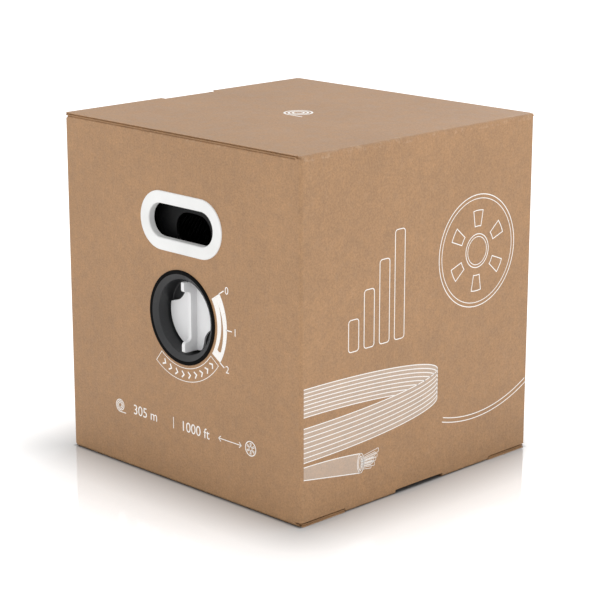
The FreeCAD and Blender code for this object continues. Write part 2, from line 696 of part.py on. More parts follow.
WEB_FRONT = (behind("flange_depth"), behind("flange_depth + web_thick"))
WEB_BACK = (before("flange_depth + web_thick"), before("flange_depth"))
front_flange = flange("front_flange", WEB_FRONT, (behind("flange_depth - rim_stand"), WEB_FRONT[0]))
back_flange = flange("back_flange", WEB_BACK, (WEB_BACK[1], before("flange_depth - rim_stand")))
barrel = ring("barrel", "barrel_radius", BARREL_INSIDE, (WEB_FRONT[1], WEB_BACK[0]))

HUB_Y = (WEB_FRONT[1], WEB_FRONT[1] + " + hub_flange_thick")
SLEEVE_Y = (WEB_FRONT[0], behind("hub_web_depth + hub_web_thick"))
front_hub_solid = join("front_hub_solid", [
    rod("front_sleeve", SLEEVE, SLEEVE_Y),
    rod("front_hub_flange", BARREL_INSIDE, HUB_Y),
])
front_hub_hollow = join("front_hub_hollow", [
    rod("front_bore", BORE, (WEB_FRONT[0], behind("hub_web_depth"))),
    rod("web_bore", "hub_web_bore", SLEEVE_Y),
] + bolt_holes("front_hub_hole", HUB_Y))
front_hub = cut("front_hub", front_hub_solid, front_hub_hollow)

BACK_HUB_Y = (WEB_BACK[0] + " - hub_flange_thick", WEB_BACK[0])
BACK_SLEEVE_Y = (before("back_journal_reach + hub_flange_thick"), WEB_BACK[1])
back_hub_solid = join("back_hub_solid", [
    rod("back_sleeve", SLEEVE, BACK_SLEEVE_Y),
    rod("back_hub_flange", BARREL_INSIDE, BACK_HUB_Y),
])
back_hub_hollow = join("back_hub_hollow", [
    rod("back_bore", BORE, BACK_SLEEVE_Y),
] + bolt_holes("back_hub_hole", BACK_HUB_Y))
back_hub = cut("back_hub", back_hub_solid, back_hub_hollow)

BOLT_HEAD_Y = (WEB_FRONT[0] + " - bolt_head_thick", WEB_FRONT[0])
BOLT_NUT_Y = (WEB_BACK[1], WEB_BACK[1] + " + bolt_head_thick")
bolts = []
nuts = []
for number, angle in enumerate(BOLT_ANGLES):
    x, z = on_circle("bolt_circle", angle)
    shank = rod("bolt_shank_%d" % number, "bolt_radius", (WEB_FRONT[0], WEB_BACK[1]), x, z)
    head = rod("bolt_head_%d" % number, "bolt_head_radius", BOLT_HEAD_Y, x, z)
    bolts.append(join("bolt_%d" % number, [shank, head]))
    nuts.append(rod("nut_%d" % number, "bolt_head_radius", BOLT_NUT_Y, x, z))
reel_bolts = doc.addObject("Part::Compound", "reel_bolts")
reel_bolts.Links = bolts
reel_nuts = doc.addObject("Part::Compound", "reel_nuts")
reel_nuts.Links = nuts

cable_winding = ring(
    "cable_winding", "winding_radius", "barrel_radius",
    (WEB_FRONT[1] + " + winding_room", WEB_BACK[0] + " - winding_room"),
)

# ---------------------------------------------------------------- check and write

NODES = {
    "front_panel": front_panel, "right_panel": right_panel, "back_panel": back_panel,
    "left_panel": left_panel, "glue_flap": glue_flap, "front_bottom_flap": front_bottom_flap,
    "back_bottom_flap": back_bottom_flap, "right_bottom_flap": right_bottom_flap,
    "left_bottom_flap": left_bottom_flap, "bottom_pad": bottom_pad, "front_pad": front_pad,
    "back_pad": back_pad, "lid": lid, "lid_tab": lid_tab, "front_dust_flap": front_dust_flap,
    "back_dust_flap": back_dust_flap, "lock_flange": lock_flange, "cable_port": cable_port,
    "cable_port_ring": cable_port_ring, "front_journal": front_journal,
    "front_journal_ring": front_journal_ring, "back_journal": back_journal,
    "back_journal_ring": back_journal_ring, "spring_retainer": spring_retainer,
    "brake_dial": brake_dial, "dial_screw": dial_screw, "brake_cam": brake_cam,
    "brake_plunger": brake_plunger, "brake_pad": brake_pad, "brake_spring": brake_spring,
    "front_flange": front_flange, "back_flange": back_flange, "barrel": barrel, "front_hub": front_hub,
    "back_hub": back_hub, "reel_bolts": reel_bolts, "reel_nuts": reel_nuts,
    "cable_winding": cable_winding,
}
for label, item in NODES.items():
    item.Label = label
doc.recompute()

for item in doc.Objects:
    if "Invalid" in item.State or "Error" in item.State:
        raise RuntimeError("%s did not build: %s" % (item.Name, item.State))
os.makedirs("parts", exist_ok=True)
for label, item in NODES.items():
    shape = item.Shape
    if shape.isNull() or not shape.isValid() or not shape.Solids:
        raise RuntimeError("%s has no valid solid" % label)
for label, item in NODES.items():
    item.Shape.exportStep("parts/%s.step" % label)
    box = item.Shape.BoundBox
    spans = [(box.XMin, box.XMax), (box.YMin, box.YMax), (box.ZMin, box.ZMax)]
    places = "  ".join("%.1f to %.1f" % span for span in spans)
    print("%-20s solids %2d  volume %8.0f  %s" % (label, len(item.Shape.Solids), item.Shape.Volume, places))
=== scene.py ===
import math

import bmesh
import bpy
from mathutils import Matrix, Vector


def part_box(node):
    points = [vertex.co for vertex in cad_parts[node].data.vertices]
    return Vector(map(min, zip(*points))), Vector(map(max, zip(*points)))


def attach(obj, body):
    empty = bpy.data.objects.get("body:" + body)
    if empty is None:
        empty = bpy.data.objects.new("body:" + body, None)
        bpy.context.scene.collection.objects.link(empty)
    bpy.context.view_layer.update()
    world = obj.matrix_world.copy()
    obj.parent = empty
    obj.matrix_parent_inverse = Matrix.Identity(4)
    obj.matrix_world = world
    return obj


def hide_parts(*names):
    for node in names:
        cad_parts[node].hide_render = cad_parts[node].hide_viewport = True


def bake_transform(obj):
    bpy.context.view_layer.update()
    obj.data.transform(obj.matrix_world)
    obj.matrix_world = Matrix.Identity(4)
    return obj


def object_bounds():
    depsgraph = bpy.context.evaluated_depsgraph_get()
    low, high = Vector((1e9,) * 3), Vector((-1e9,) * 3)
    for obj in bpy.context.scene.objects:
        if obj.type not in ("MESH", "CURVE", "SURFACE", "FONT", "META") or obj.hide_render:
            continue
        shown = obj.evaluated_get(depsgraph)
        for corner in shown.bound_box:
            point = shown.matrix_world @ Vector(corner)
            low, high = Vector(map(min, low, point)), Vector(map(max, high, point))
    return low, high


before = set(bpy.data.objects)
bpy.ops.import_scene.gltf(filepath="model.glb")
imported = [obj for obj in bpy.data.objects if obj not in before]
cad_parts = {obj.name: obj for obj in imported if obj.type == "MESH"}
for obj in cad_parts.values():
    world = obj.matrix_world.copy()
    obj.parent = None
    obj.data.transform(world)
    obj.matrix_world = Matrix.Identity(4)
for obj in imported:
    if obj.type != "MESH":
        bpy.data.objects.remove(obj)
cad_low, cad_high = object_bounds()
scene = bpy.context.scene

# ---------------------------------------------------------------- camera
# A long lens at standing distance, turned to the front right edge of the carton and a little down.

camera_data = bpy.data.cameras.new("camera")
camera_data.lens = 118.9
camera_data.sensor_width = 36
camera = bpy.data.objects.new("camera", camera_data)
camera.location = (1.527, -1.516, 0.745)
camera.rotation_euler = Vector((-0.6856, 0.6811, -0.2571)).to_track_quat("-Z", "Y").to_euler()
scene.collection.objects.link(camera)
scene.camera = camera
scene.view_settings.view_transform = "Standard"

# ---------------------------------------------------------------- floor and lights
# A white studio table with a soft sheen in a white room. Four soft lamps, above, in front, at the
# right and behind, make the lid the brightest face and the right side the next.


def add_node(tree, kind, given=None, family="Shader", **settings):
    """A node; its inputs, by name or place, are numbers, colours or other nodes' outputs."""
    made = tree.nodes.new(family + "Node" + kind)
    for name, setting in settings.items():
        setattr(made, name, setting)
    for key, source in (given or {}).items():
        if isinstance(source, bpy.types.NodeSocket):
            tree.links.new(source, made.inputs[key])
        else:
            made.inputs[key].default_value = source
    return made


def new_material(name, settings):
    """A material with its node tree and its Principled shader, whose sockets take the settings."""
    material = bpy.data.materials.new(name)
    material.use_nodes = True
    shader = material.node_tree.nodes["Principled BSDF"]
    for socket, setting in settings.items():
        shader.inputs[socket].default_value = setting
    return material, material.node_tree, shader


def noise(tree, place, scale, detail=3.0, roughness=0.5):
    given = {"Vector": place, "Scale": scale, "Detail": detail, "Roughness": roughness}
    return add_node(tree, "TexNoise", given).outputs[0]


def spread(tree, source, low, high, to_low, to_high):
    """Maps low..high onto to_low..to_high, and holds it there."""
    given = {"Value": source, "From Min": low, "From Max": high, "To Min": to_low, "To Max": to_high}
    return add_node(tree, "MapRange", given).outputs[0]


def calc(tree, operation, first, second=0.0):
    return add_node(tree, "Math", {0: first, 1: second}, operation=operation).outputs[0]


def paint(tree, shader, colour, roughness):
    tree.links.new(colour, shader.inputs["Base Color"])
    tree.links.new(roughness, shader.inputs["Roughness"])


# The table glows from within, a painted light that fades out close to the carton; there its colour is
# darkened into a painted contact shadow and painted shade, and its sheen shows the carton's reflection.
white_table, tree, shader = new_material("white_table", {"Emission Strength": 1, "Specular IOR Level": 0.62})
table_place = add_node(tree, "TexCoord").outputs["Object"]
table_axes = add_node(tree, "SeparateXYZ", {0: table_place}).outputs
HIDDEN_RIM = 0.002
CONTACT_SHADOW_END, SHADE_END, PAINTED_GLOW_END = 0.004, 0.07, 0.14
beside = {}
for way, half in (("X", cad_high.x), ("Y", cad_high.y)):
    beyond = calc(tree, "SUBTRACT", calc(tree, "ABSOLUTE", table_axes[way]), half - HIDDEN_RIM)
    beside[way] = calc(tree, "MAXIMUM", beyond, 0)
apart = add_node(tree, "VectorMath", {0: add_node(tree, "CombineXYZ", beside).outputs[0]}, operation="LENGTH")
apart = apart.outputs["Value"]
# Painted shade: the table's colour darkens to a painted contact shadow at the carton's foot and to painted
# shade within a few centimetres of it.
painted_contact_shadow = spread(tree, apart, 0, CONTACT_SHADOW_END, 0.3, 1)
table_tone_with_painted_shade = calc(tree, "MULTIPLY", painted_contact_shadow, spread(tree, apart, 0, SHADE_END, 0.58, 0.86))
paint(tree, shader, table_tone_with_painted_shade, spread(tree, noise(tree, table_place, 5), 0.3, 0.7, 0.04, 0.08))
# Painted light: the table glows, and the glow fades to nothing near the carton, which paints shade there.
tree.links.new(spread(tree, apart, 0, PAINTED_GLOW_END, 0, 0.42), shader.inputs["Emission Color"])

FLOOR_REACH = 14
floor_mesh = bpy.data.meshes.new("floor")
floor_corners = [(-1, -1), (1, -1), (1, 1), (-1, 1)]
floor_mesh.from_pydata([(x * FLOOR_REACH, y * FLOOR_REACH, 0) for x, y in floor_corners], [], [(0, 1, 2, 3)])
floor_mesh.materials.append(white_table)
floor = bpy.data.objects.new("floor", floor_mesh)
scene.collection.objects.link(floor)

world = bpy.data.worlds.new("white_room")
world.use_nodes = True
room_light = world.node_tree.nodes["Background"].inputs
room_light["Color"].default_value = (1, 1, 1, 1)
room_light["Strength"].default_value = 1.0
scene.world = world

for name, place, size, power in (
    ("lamp_above", (0.8, 0.5, 0.9), 0.45, 1.0),
    ("lamp_front", (-0.5, -2.2, 2.1), 1.0, 3.2),
    ("lamp_right", (1.7, 0.2, 1.7), 0.8, 3.0),
    ("lamp_back", (-1.2, 3.0, 1.1), 1.4, 11.0),
):
    lamp_data = bpy.data.lights.new(name, "AREA")
    lamp_data.size = size
    lamp_data.energy = power
    lamp = bpy.data.objects.new(name, lamp_data)
    lamp.location = place
    lamp.rotation_euler = (Vector((0, 0, 0.2)) - Vector(place)).to_track_quat("-Z", "Y").to_euler()
    scene.collection.objects.link(lamp)

# ---------------------------------------------------------------- carton walls
# One sheet of brown corrugated board, scored and folded round four upright corners.
# The flutes stand upright; the port, the journals and the bottom slots are die cut.

MM = 0.001
BOARD = 3 * MM
FOLD_RADIUS = 4 * MM
HALF_WIDTH = cad_high.x
HALF_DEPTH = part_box("lid")[1].y
WALL_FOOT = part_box("front_panel")[0].z
WALL_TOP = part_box("front_panel")[1].z
LID_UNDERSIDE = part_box("lid")[0].z
LID_TOP = cad_high.z
DIAL_X = (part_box("front_flange")[0].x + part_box("front_flange")[1].x) / 2
DIAL_Z = (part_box("front_flange")[0].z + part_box("front_flange")[1].z) / 2
FLUTE_PITCH = 6.4 * MM
SEAM_SLACK = 10 * MM


def mixed(tree, share, first, second, blend="MIX"):
    given = {0: share, 6: first, 7: second}
    return add_node(tree, "Mix", given, data_type="RGBA", blend_type=blend).outputs[2]


def node_tree(name, inputs, outputs, family="Shader"):
    """A tree of nodes with named sockets; gives the tree, its inputs and the sockets of its results."""
    tree = bpy.data.node_groups.new(name, family + "NodeTree")
    for way, sockets in (("INPUT", inputs), ("OUTPUT", outputs)):
        for socket, kind, *setting in sockets:
            made = tree.interface.new_socket(socket, in_out=way, socket_type="NodeSocket" + kind)
            if setting:
                made.default_value = setting[0]
    return tree, tree.nodes.new("NodeGroupInput").outputs, tree.nodes.new("NodeGroupOutput").inputs


def use_group(tree, group, given):
    return add_node(tree, "Group", given, node_tree=group).outputs


def bump(tree, shader, height, strength, distance):
    given = {"Height": height, "Strength": strength, "Distance": distance}
    tree.links.new(add_node(tree, "Bump", given).outputs["Normal"], shader.inputs["Normal"])


fibres, asked, result = node_tree(
    "paper_fibres",
    [("Colour", "Color", (0.4, 0.25, 0.14, 1)), ("Scuff", "Float", 0.2)],
    [("Colour", "Color"), ("Roughness", "Float"), ("Height", "Float")],
)
place = add_node(fibres, "TexCoord").outputs["Object"]
mottle = noise(fibres, place, 14)
cloud = noise(fibres, place, 95, 4)
grain = noise(fibres, place, 520, 5, 0.65)
thread_field = add_node(fibres, "TexNoise", {"Vector": place, "Scale": 210, "Detail": 2, "Distortion": 1.6})
thread = calc(fibres, "ABSOLUTE", calc(fibres, "SUBTRACT", thread_field.outputs[0], 0.5))
pale_thread = spread(fibres, thread, 0.0, 0.014, 1, 0)
speck = spread(fibres, noise(fibres, place, 760, 2), 0.68, 0.74, 0, 1)
flute_turn = add_node(fibres, "Attribute", attribute_name="across_flutes").outputs["Fac"]
flute = calc(fibres, "SINE", calc(fibres, "MULTIPLY", flute_turn, 2 * math.pi / FLUTE_PITCH))
tone = spread(fibres, mottle, 0.3, 0.7, 0.955, 1.045)
for share in (
    spread(fibres, cloud, 0.32, 0.68, 0.93, 1.07),
    spread(fibres, grain, 0.34, 0.66, 0.84, 1.16),
    spread(fibres, pale_thread, 0, 1, 1.0, 1.10),
    spread(fibres, speck, 0, 1, 1.0, 0.72),
    spread(fibres, flute, -1, 1, 0.992, 1.008),
):
    tone = calc(fibres, "MULTIPLY", tone, share)
toned = mixed(fibres, 1.0, asked["Colour"], tone, "MULTIPLY")
rubbed_field = spread(fibres, noise(fibres, place, 160, 5, 0.7), 0.52, 0.66, 0, 1)
rubbed = calc(fibres, "MULTIPLY", rubbed_field, asked["Scuff"])
fibres.links.new(mixed(fibres, rubbed, toned, (0.60, 0.44, 0.30, 1)), result["Colour"])
fibres.links.new(spread(fibres, cloud, 0.3, 0.7, 0.50, 0.62), result["Roughness"])
paper_relief = calc(fibres, "MULTIPLY", grain, 0.6)
for field, share in ((flute, 0.35), (thread, 0.8)):
    paper_relief = calc(fibres, "ADD", paper_relief, calc(fibres, "MULTIPLY", field, share))
fibres.links.new(paper_relief, result["Height"])


def kraft(name, colour, scuff):
    """Brown liner paper; scuff is how much of it is rubbed pale, as along a fold."""
    material, tree, shader = new_material(name, {"Specular IOR Level": 0.6})
    paper = use_group(tree, fibres, {"Colour": colour, "Scuff": scuff})
    paint(tree, shader, paper["Colour"], paper["Roughness"])
    bump(tree, shader, paper["Height"], 0.35, 0.00012)
    return material


KRAFT_BROWN = (0.355, 0.196, 0.090, 1)
kraft_board = kraft("kraft_board", KRAFT_BROWN, 0.05)
kraft_crease = kraft("kraft_crease", KRAFT_BROWN, 0.28)


def shape(name, points, faces, material):
    """A new mesh object with its normals turned outwards."""
    mesh = bpy.data.meshes.new(name)
    mesh.from_pydata([tuple(point) for point in points], [], faces)
    mesh.materials.append(material)
    made = bpy.data.objects.new(name, mesh)
    scene.collection.objects.link(made)
    face_outwards(made)
    return made


def face_outwards(piece, merge=1e-7):
    work = bmesh.new()
    work.from_mesh(piece.data)
    bmesh.ops.remove_doubles(work, verts=work.verts, dist=merge)
    bmesh.ops.recalc_face_normals(work, faces=work.faces)
    work.to_mesh(piece.data)
    work.free()


def settle(piece):
    """Turns a piece and its modifiers into one plain mesh."""
    graph = bpy.context.evaluated_depsgraph_get()
    plain = bpy.data.meshes.new_from_object(piece.evaluated_get(graph))
    piece.modifiers.clear()
    piece.data = plain
    return piece


def cut(piece, tool, operation="DIFFERENCE"):
    boolean = piece.modifiers.new("cut", "BOOLEAN")
    boolean.operation = operation
    boolean.solver = "EXACT"
    boolean.object = tool
    settle(piece)
    bpy.data.objects.remove(tool)
    return piece


def soften(piece, width=0.0, segments=3, sharp=32):
    """Rounds the sharp edges by width, if there is one, and shades the piece smooth between them."""
    piece.data.shade_smooth()
    if width:
        bevel = piece.modifiers.new("round", "BEVEL")
        bevel.width = width
        bevel.segments = segments
        bevel.limit_method = "ANGLE"
        bevel.angle_limit = math.radians(sharp)
        settle(piece)
    piece.data.set_sharp_from_angle(angle=math.radians(sharp))
    weighted = piece.modifiers.new("even", "WEIGHTED_NORMAL")
    weighted.keep_sharp = True
    return settle(piece)


def on_front(u, v, level):
    return Vector((u, level, v))


def on_side(u, v, level):
    return Vector((level, u, v))


def on_top(u, v, level):
    return Vector((u, v, level))


def ring_faces(rings, count):
    """Faces between rings of points, each joined to the next and the last to the first."""
    rows = [(count * i, count * ((i + 1) % rings)) for i in range(rings)]
    return [(a + i, a + (i + 1) % count, b + (i + 1) % count, b + i) for a, b in rows for i in range(count)]


def prism(name, outline, levels, lay, material=kraft_board):
    """A flat outline drawn between two levels; lay says which face it lies on."""
    count = len(outline)
    points = [lay(u, v, level) for level in levels for u, v in outline]
    faces = [tuple(range(count)), tuple(range(count, 2 * count))]
    faces += [(i, (i + 1) % count, count + (i + 1) % count, count + i) for i in range(count)]
    return shape(name, points, faces, material)


def rectangle(low, high):
    return [(low[0], low[1]), (high[0], low[1]), (high[0], high[1]), (low[0], high[1])]


def arc(centre, radius, start, end, steps):
    """Points along an arc, with its angles in degrees."""
    turn = [math.radians(start + (end - start) * i / steps) for i in range(steps + 1)]
    return [(centre[0] + radius * math.cos(a), centre[1] + radius * math.sin(a)) for a in turn]


def circle(centre, radius, steps):
    return arc(centre, radius, 0, 360 - 360 / steps, steps - 1)


def stadium(centre, half_length, radius, steps=32):
    right = arc((centre[0] + half_length, centre[1]), radius, -90, 90, steps)
    return right + arc((centre[0] - half_length, centre[1]), radius, 90, 270, steps)


def rounded_rectangle(low, high, radius, steps=8):
    points = []
    for corner, (x, y) in enumerate((high, (low[0], high[1]), low, (high[0], low[1]))):
        centre = (x - radius if x > 0 else x + radius, y - radius if y > 0 else y + radius)
        points += arc(centre, radius, 90 * corner, 90 * corner + 90, steps)
    return points


def mark_flutes(piece, across=None):
    """Stores how far each corner of a face lies across the flutes, along axis 0 or 1."""
    mesh = piece.data
    lines = mesh.attributes.new("across_flutes", "FLOAT", "CORNER")
    for face in mesh.polygons:
        way = across if across is not None else int(abs(face.normal.x) > abs(face.normal.y))
        for corner in face.loop_indices:
            lines.data[corner].value = mesh.vertices[mesh.loops[corner].vertex_index].co[way]


outer = rounded_rectangle((-HALF_WIDTH, -HALF_DEPTH), (HALF_WIDTH, HALF_DEPTH), FOLD_RADIUS)
inner = rounded_rectangle(
    (BOARD - HALF_WIDTH, BOARD - HALF_DEPTH), (HALF_WIDTH - BOARD, HALF_DEPTH - BOARD), FOLD_RADIUS - BOARD
)
loops = [(outer, WALL_FOOT), (outer, LID_UNDERSIDE), (inner, LID_UNDERSIDE), (inner, WALL_FOOT)]
wall_points = [(x, y, z) for points, z in loops for x, y in points]
carton_walls = shape("carton_walls", wall_points, ring_faces(len(loops), len(outer)), kraft_board)

FLAP_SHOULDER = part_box("front_dust_flap")[1].x
RIGHT_PANEL_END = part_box("right_panel")[1].y
OUT = 0.2
flap_line = [
    (-OUT, -OUT), (FLAP_SHOULDER, -OUT), (FLAP_SHOULDER, -RIGHT_PANEL_END), (OUT, -RIGHT_PANEL_END),
    (OUT, RIGHT_PANEL_END), (FLAP_SHOULDER, RIGHT_PANEL_END), (FLAP_SHOULDER, OUT), (-OUT, OUT),
]
cut(carton_walls, prism("flap_line", flap_line, (WALL_TOP, LID_TOP), on_top))

PORT_Z = (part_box("cable_port")[0].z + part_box("cable_port")[1].z) / 2
PORT_STRAIGHT = 31.5 * MM
PORT_RADIUS = 18.5 * MM
PORT_WALL = 2 * MM
NECK_RADIUS = 46.8 * MM
front_wall = (-HALF_DEPTH - SEAM_SLACK, -HALF_DEPTH + SEAM_SLACK)
back_wall = (HALF_DEPTH - SEAM_SLACK, HALF_DEPTH + SEAM_SLACK)
port_hole = stadium((DIAL_X, PORT_Z), PORT_STRAIGHT, PORT_RADIUS + PORT_WALL)
journal_hole = circle((DIAL_X, DIAL_Z), NECK_RADIUS, 96)
cut(carton_walls, prism("port_hole", port_hole, front_wall, on_front))
for wall in (front_wall, back_wall):
    cut(carton_walls, prism("journal_hole", journal_hole, wall, on_front))

SLOT_HALF = 38 * MM
RELIEF_START = 115.5 * MM
RELIEF_ROUND = 0.25
RELIEF_HEIGHT = 1.5 * MM
for low, high in ((-OUT, -RELIEF_START), (-SLOT_HALF, SLOT_HALF), (RELIEF_START, OUT)):
    notch = rounded_rectangle((-1, -1), (1, 1), RELIEF_ROUND, 3)
    middle, half = (low + high) / 2, (high - low) / 2
    notch = [(middle + u * half, WALL_FOOT + v * RELIEF_HEIGHT) for u, v in notch]
    cut(carton_walls, prism("foot_notch", notch, (HALF_WIDTH - 2 * FOLD_RADIUS, HALF_WIDTH + OUT), on_side))
soften(carton_walls, sharp=25)
mark_flutes(carton_walls)
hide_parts("front_panel", "right_panel", "back_panel", "left_panel")
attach(carton_walls, "carton")

# ---------------------------------------------------------------- flaps and lid
# Each one is two brown liners glued to a fluted medium, cut to its outline, so that the waves show at
# the cut ends. Fold lines are scored, and they roll over in a round edge as thick as the board.

LINER = 0.55 * MM
MEDIUM = 0.3 * MM
CORE_INSET = 0.08 * MM
WAVE_STEPS = 10


def offset_line(points, distance, closed=True, sharpest=0.0):
    """A line moved to its left and mitred at its corners; that draws an anticlockwise outline in."""
    count = len(points)
    edges = [Vector(points[(i + 1) % count]) - Vector(points[i]) for i in range(count)]
    sides = [Vector((-edge.y, edge.x)).normalized() for edge in edges]
    if not closed:
        sides[-1] = sides[-2]
    moved = []
    for i, point in enumerate(points):
        before = sides[i - 1] if closed or i else sides[0]
        mitre = (before + sides[i]) / max(1 + before.dot(sides[i]), sharpest)
        moved.append(tuple(Vector(point) + mitre * distance))
    return moved


def bar_faces(steps, start=0, closed=False):
    """Faces of a bar whose stations have four points each; an open bar gets its two ends."""
    stations = [start + 4 * i for i in range(steps)]
    ends = () if closed else (start, start + 4 * steps)
    faces = [(a, a + 1, a + 3, a + 2) for a in ends]
    for a in stations:
        b = start if closed and a == stations[-1] else a + 4
        faces += [(a, a + 1, b + 1, b), (a + 2, a + 3, b + 3, b + 2)]
        faces += [(a, a + 2, b + 2, b), (a + 1, a + 3, b + 3, b + 1)]
    return faces


def waves(name, low, high, levels, along):
    """The fluted medium as one closed sheet; its flutes run along axis 0 or 1."""
    middle = (levels[0] + levels[1]) / 2
    rise = (levels[1] - levels[0]) / 2 - LINER - MEDIUM / 2
    across = 1 - along
    count = int((high[across] - low[across]) / FLUTE_PITCH * WAVE_STEPS)
    points = []
    for i in range(count + 1):
        spot = low[across] + (high[across] - low[across]) * i / count
        crest = middle + rise * math.sin(2 * math.pi * spot / FLUTE_PITCH)
        for end in (low[along], high[along]):
            for level in (crest - MEDIUM / 2, crest + MEDIUM / 2):
                points.append((end, spot, level) if along == 0 else (spot, end, level))
    return shape(name, points, bar_faces(count), kraft_board)


def join(name, parts):
    """Several shapes as one mesh, without welding them."""
    work = bmesh.new()
    for part in parts:
        work.from_mesh(part.data)
    mesh = parts[0].data
    work.to_mesh(mesh)
    work.free()
    made = bpy.data.objects.new(name, mesh)
    scene.collection.objects.link(made)
    for part in parts:
        bpy.data.objects.remove(part)
    return made


def fluted_board(name, outline, levels, along, body, *nodes):
    """A cut sheet of corrugated board between two levels; along is the axis that its flutes follow."""
    low_liner = prism("low_liner", outline, (levels[0], levels[0] + LINER), on_top)
    high_liner = prism("high_liner", outline, (levels[1] - LINER, levels[1]), on_top)
    core = offset_line(outline, CORE_INSET)
    low, high = [[pick(point[way] for point in core) for way in (0, 1)] for pick in (min, max)]
    medium = waves("medium", low, high, levels, along)
    if len(outline) > 4 or outline[0][1] != outline[1][1]:
        reach = (levels[0] - BOARD, levels[1] + BOARD)
        cut(medium, prism("medium_outline", core, reach, on_top), "INTERSECT")
    board = join(name, [low_liner, high_liner, medium])
    soften(board, sharp=40)
    mark_flutes(board, 1 - along)
    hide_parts(*nodes)
    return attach(board, body)


def fold_section(pivot, outwards, up, reach=0.0):
    """A quarter round about the pivot, with a straight reach beside it."""
    rim = [pivot + BOARD * (u * outwards + v * up) for u, v in arc((0, 0), 1, 0, 90, 10)]
    back = [pivot + BOARD * up - reach * outwards, pivot - reach * outwards] if reach else []
    return [tuple(point) for point in rim + back + [pivot]]


def crease(name, section, span, lay):
    """A fold's section run along its edge: on_side runs it across the carton, on_front from front to back."""
    strip = soften(prism(name, section, span, lay, kraft_crease), sharp=40)
    return strip


UP = Vector((0, 1))
RIGHT = Vector((1, 0))
FLAP_LEVELS = (WALL_TOP, LID_UNDERSIDE)
FLAP_LEFT, FLAP_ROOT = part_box("front_dust_flap")[0].x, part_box("front_dust_flap")[0].y
FLAP_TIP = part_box("front_dust_flap")[1].y
MITRE = 60 * MM
FLAP_SLANT = 0.55
flap_end = FLAP_SHOULDER - FLAP_SLANT * (FLAP_TIP - FLAP_ROOT)
front_flap_outline = [
    (FLAP_LEFT, FLAP_ROOT), (FLAP_SHOULDER, FLAP_ROOT), (flap_end, FLAP_TIP),
    (FLAP_LEFT + MITRE, FLAP_TIP), (FLAP_LEFT + MITRE, FLAP_ROOT + MITRE),
]
back_flap_outline = [(x, -y) for x, y in reversed(front_flap_outline)]
fluted_board("front_flap_board", front_flap_outline, FLAP_LEVELS, 1, "front_flap", "front_dust_flap")
fluted_board("back_flap_board", back_flap_outline, FLAP_LEVELS, 1, "back_flap", "back_dust_flap")
for side, body in ((-1, "front_flap"), (1, "back_flap")):
    root = side * -FLAP_ROOT
    hinge = fold_section(Vector((root, WALL_TOP)), side * RIGHT, UP)
    strip = crease(body + "_crease", hinge, (FLAP_LEFT, FLAP_SHOULDER), on_side)
    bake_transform(strip)

LOCK_ROOT, LOCK_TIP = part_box("lock_flange")[0].x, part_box("lock_flange")[1].x
LOCK_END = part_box("lock_flange")[1].y
LOCK_TIP_END = LOCK_END - LOCK_TIP + LOCK_ROOT
LOCK_SLOT_HALF = 42 * MM
LOCK_SLOT_DEEP = 7.2 * MM
lock_outline = [
    (LOCK_ROOT, -LOCK_END), (LOCK_TIP, -LOCK_TIP_END), (LOCK_TIP, LOCK_TIP_END),
    (LOCK_ROOT, LOCK_END), (LOCK_ROOT, LOCK_SLOT_HALF), (LOCK_ROOT + LOCK_SLOT_DEEP, LOCK_SLOT_HALF),
    (LOCK_ROOT + LOCK_SLOT_DEEP, -LOCK_SLOT_HALF), (LOCK_ROOT, -LOCK_SLOT_HALF),
]
fluted_board("lock_flange_board", lock_outline, FLAP_LEVELS, 0, "lock_flange", "lock_flange")
lock_hinge = fold_section(Vector((LOCK_ROOT, WALL_TOP)), -RIGHT, UP)
for name, span in (("front", (-LOCK_END, -LOCK_SLOT_HALF)), ("back", (LOCK_SLOT_HALF, LOCK_END))):
    strip = crease("lock_crease_" + name, lock_hinge, span, on_front)
    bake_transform(strip)

LID_LEVELS = (LID_UNDERSIDE, LID_TOP)
LID_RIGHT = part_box("lid")[1].x
TAB_LEFT, TAB_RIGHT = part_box("lid_tab")[0].x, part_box("lid_tab")[1].x
TAB_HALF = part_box("lid_tab")[1].y
TAB_ROOM = TAB_HALF + 1 * MM
CORNER = 2.5 * MM
SLIT_NEAR, SLIT_FAR, SLIT_END = 26 * MM, 30 * MM, TAB_RIGHT + 3 * MM
lid_outline = [
    (LID_RIGHT, -HALF_DEPTH), (LID_RIGHT, HALF_DEPTH), (CORNER - HALF_WIDTH, HALF_DEPTH),
    (-HALF_WIDTH, HALF_DEPTH - CORNER), (-HALF_WIDTH, TAB_ROOM), (TAB_RIGHT, TAB_ROOM),
    (TAB_RIGHT, SLIT_FAR), (SLIT_END, SLIT_FAR), (SLIT_END, SLIT_NEAR), (TAB_RIGHT, SLIT_NEAR),
    (TAB_RIGHT, -TAB_ROOM), (-HALF_WIDTH, -TAB_ROOM), (-HALF_WIDTH, CORNER - HALF_DEPTH),
    (CORNER - HALF_WIDTH, -HALF_DEPTH),
]
fluted_board("lid_board", lid_outline, LID_LEVELS, 0, "lid", "lid")
tab_section = fold_section(Vector((TAB_RIGHT, LID_UNDERSIDE)), -RIGHT, UP)
tab_fold = crease("tab_crease", tab_section, (-TAB_HALF, TAB_HALF), on_front)
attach(tab_fold, "lid")

TAB_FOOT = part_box("lid_tab")[0].z
TAB_CHAMFER = 9 * MM
tab_outline = [
    (-TAB_HALF, LID_UNDERSIDE), (-TAB_HALF, TAB_FOOT + TAB_CHAMFER), (TAB_CHAMFER - TAB_HALF, TAB_FOOT),
    (TAB_HALF - TAB_CHAMFER, TAB_FOOT), (TAB_HALF, TAB_FOOT + TAB_CHAMFER), (TAB_HALF, LID_UNDERSIDE),
]
lid_tab = soften(prism("lid_tab_board", tab_outline, (TAB_LEFT, TAB_RIGHT), on_side), 0.4 * MM, 2)
mark_flutes(lid_tab, 1)
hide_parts("lid_tab")
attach(lid_tab, "lid")

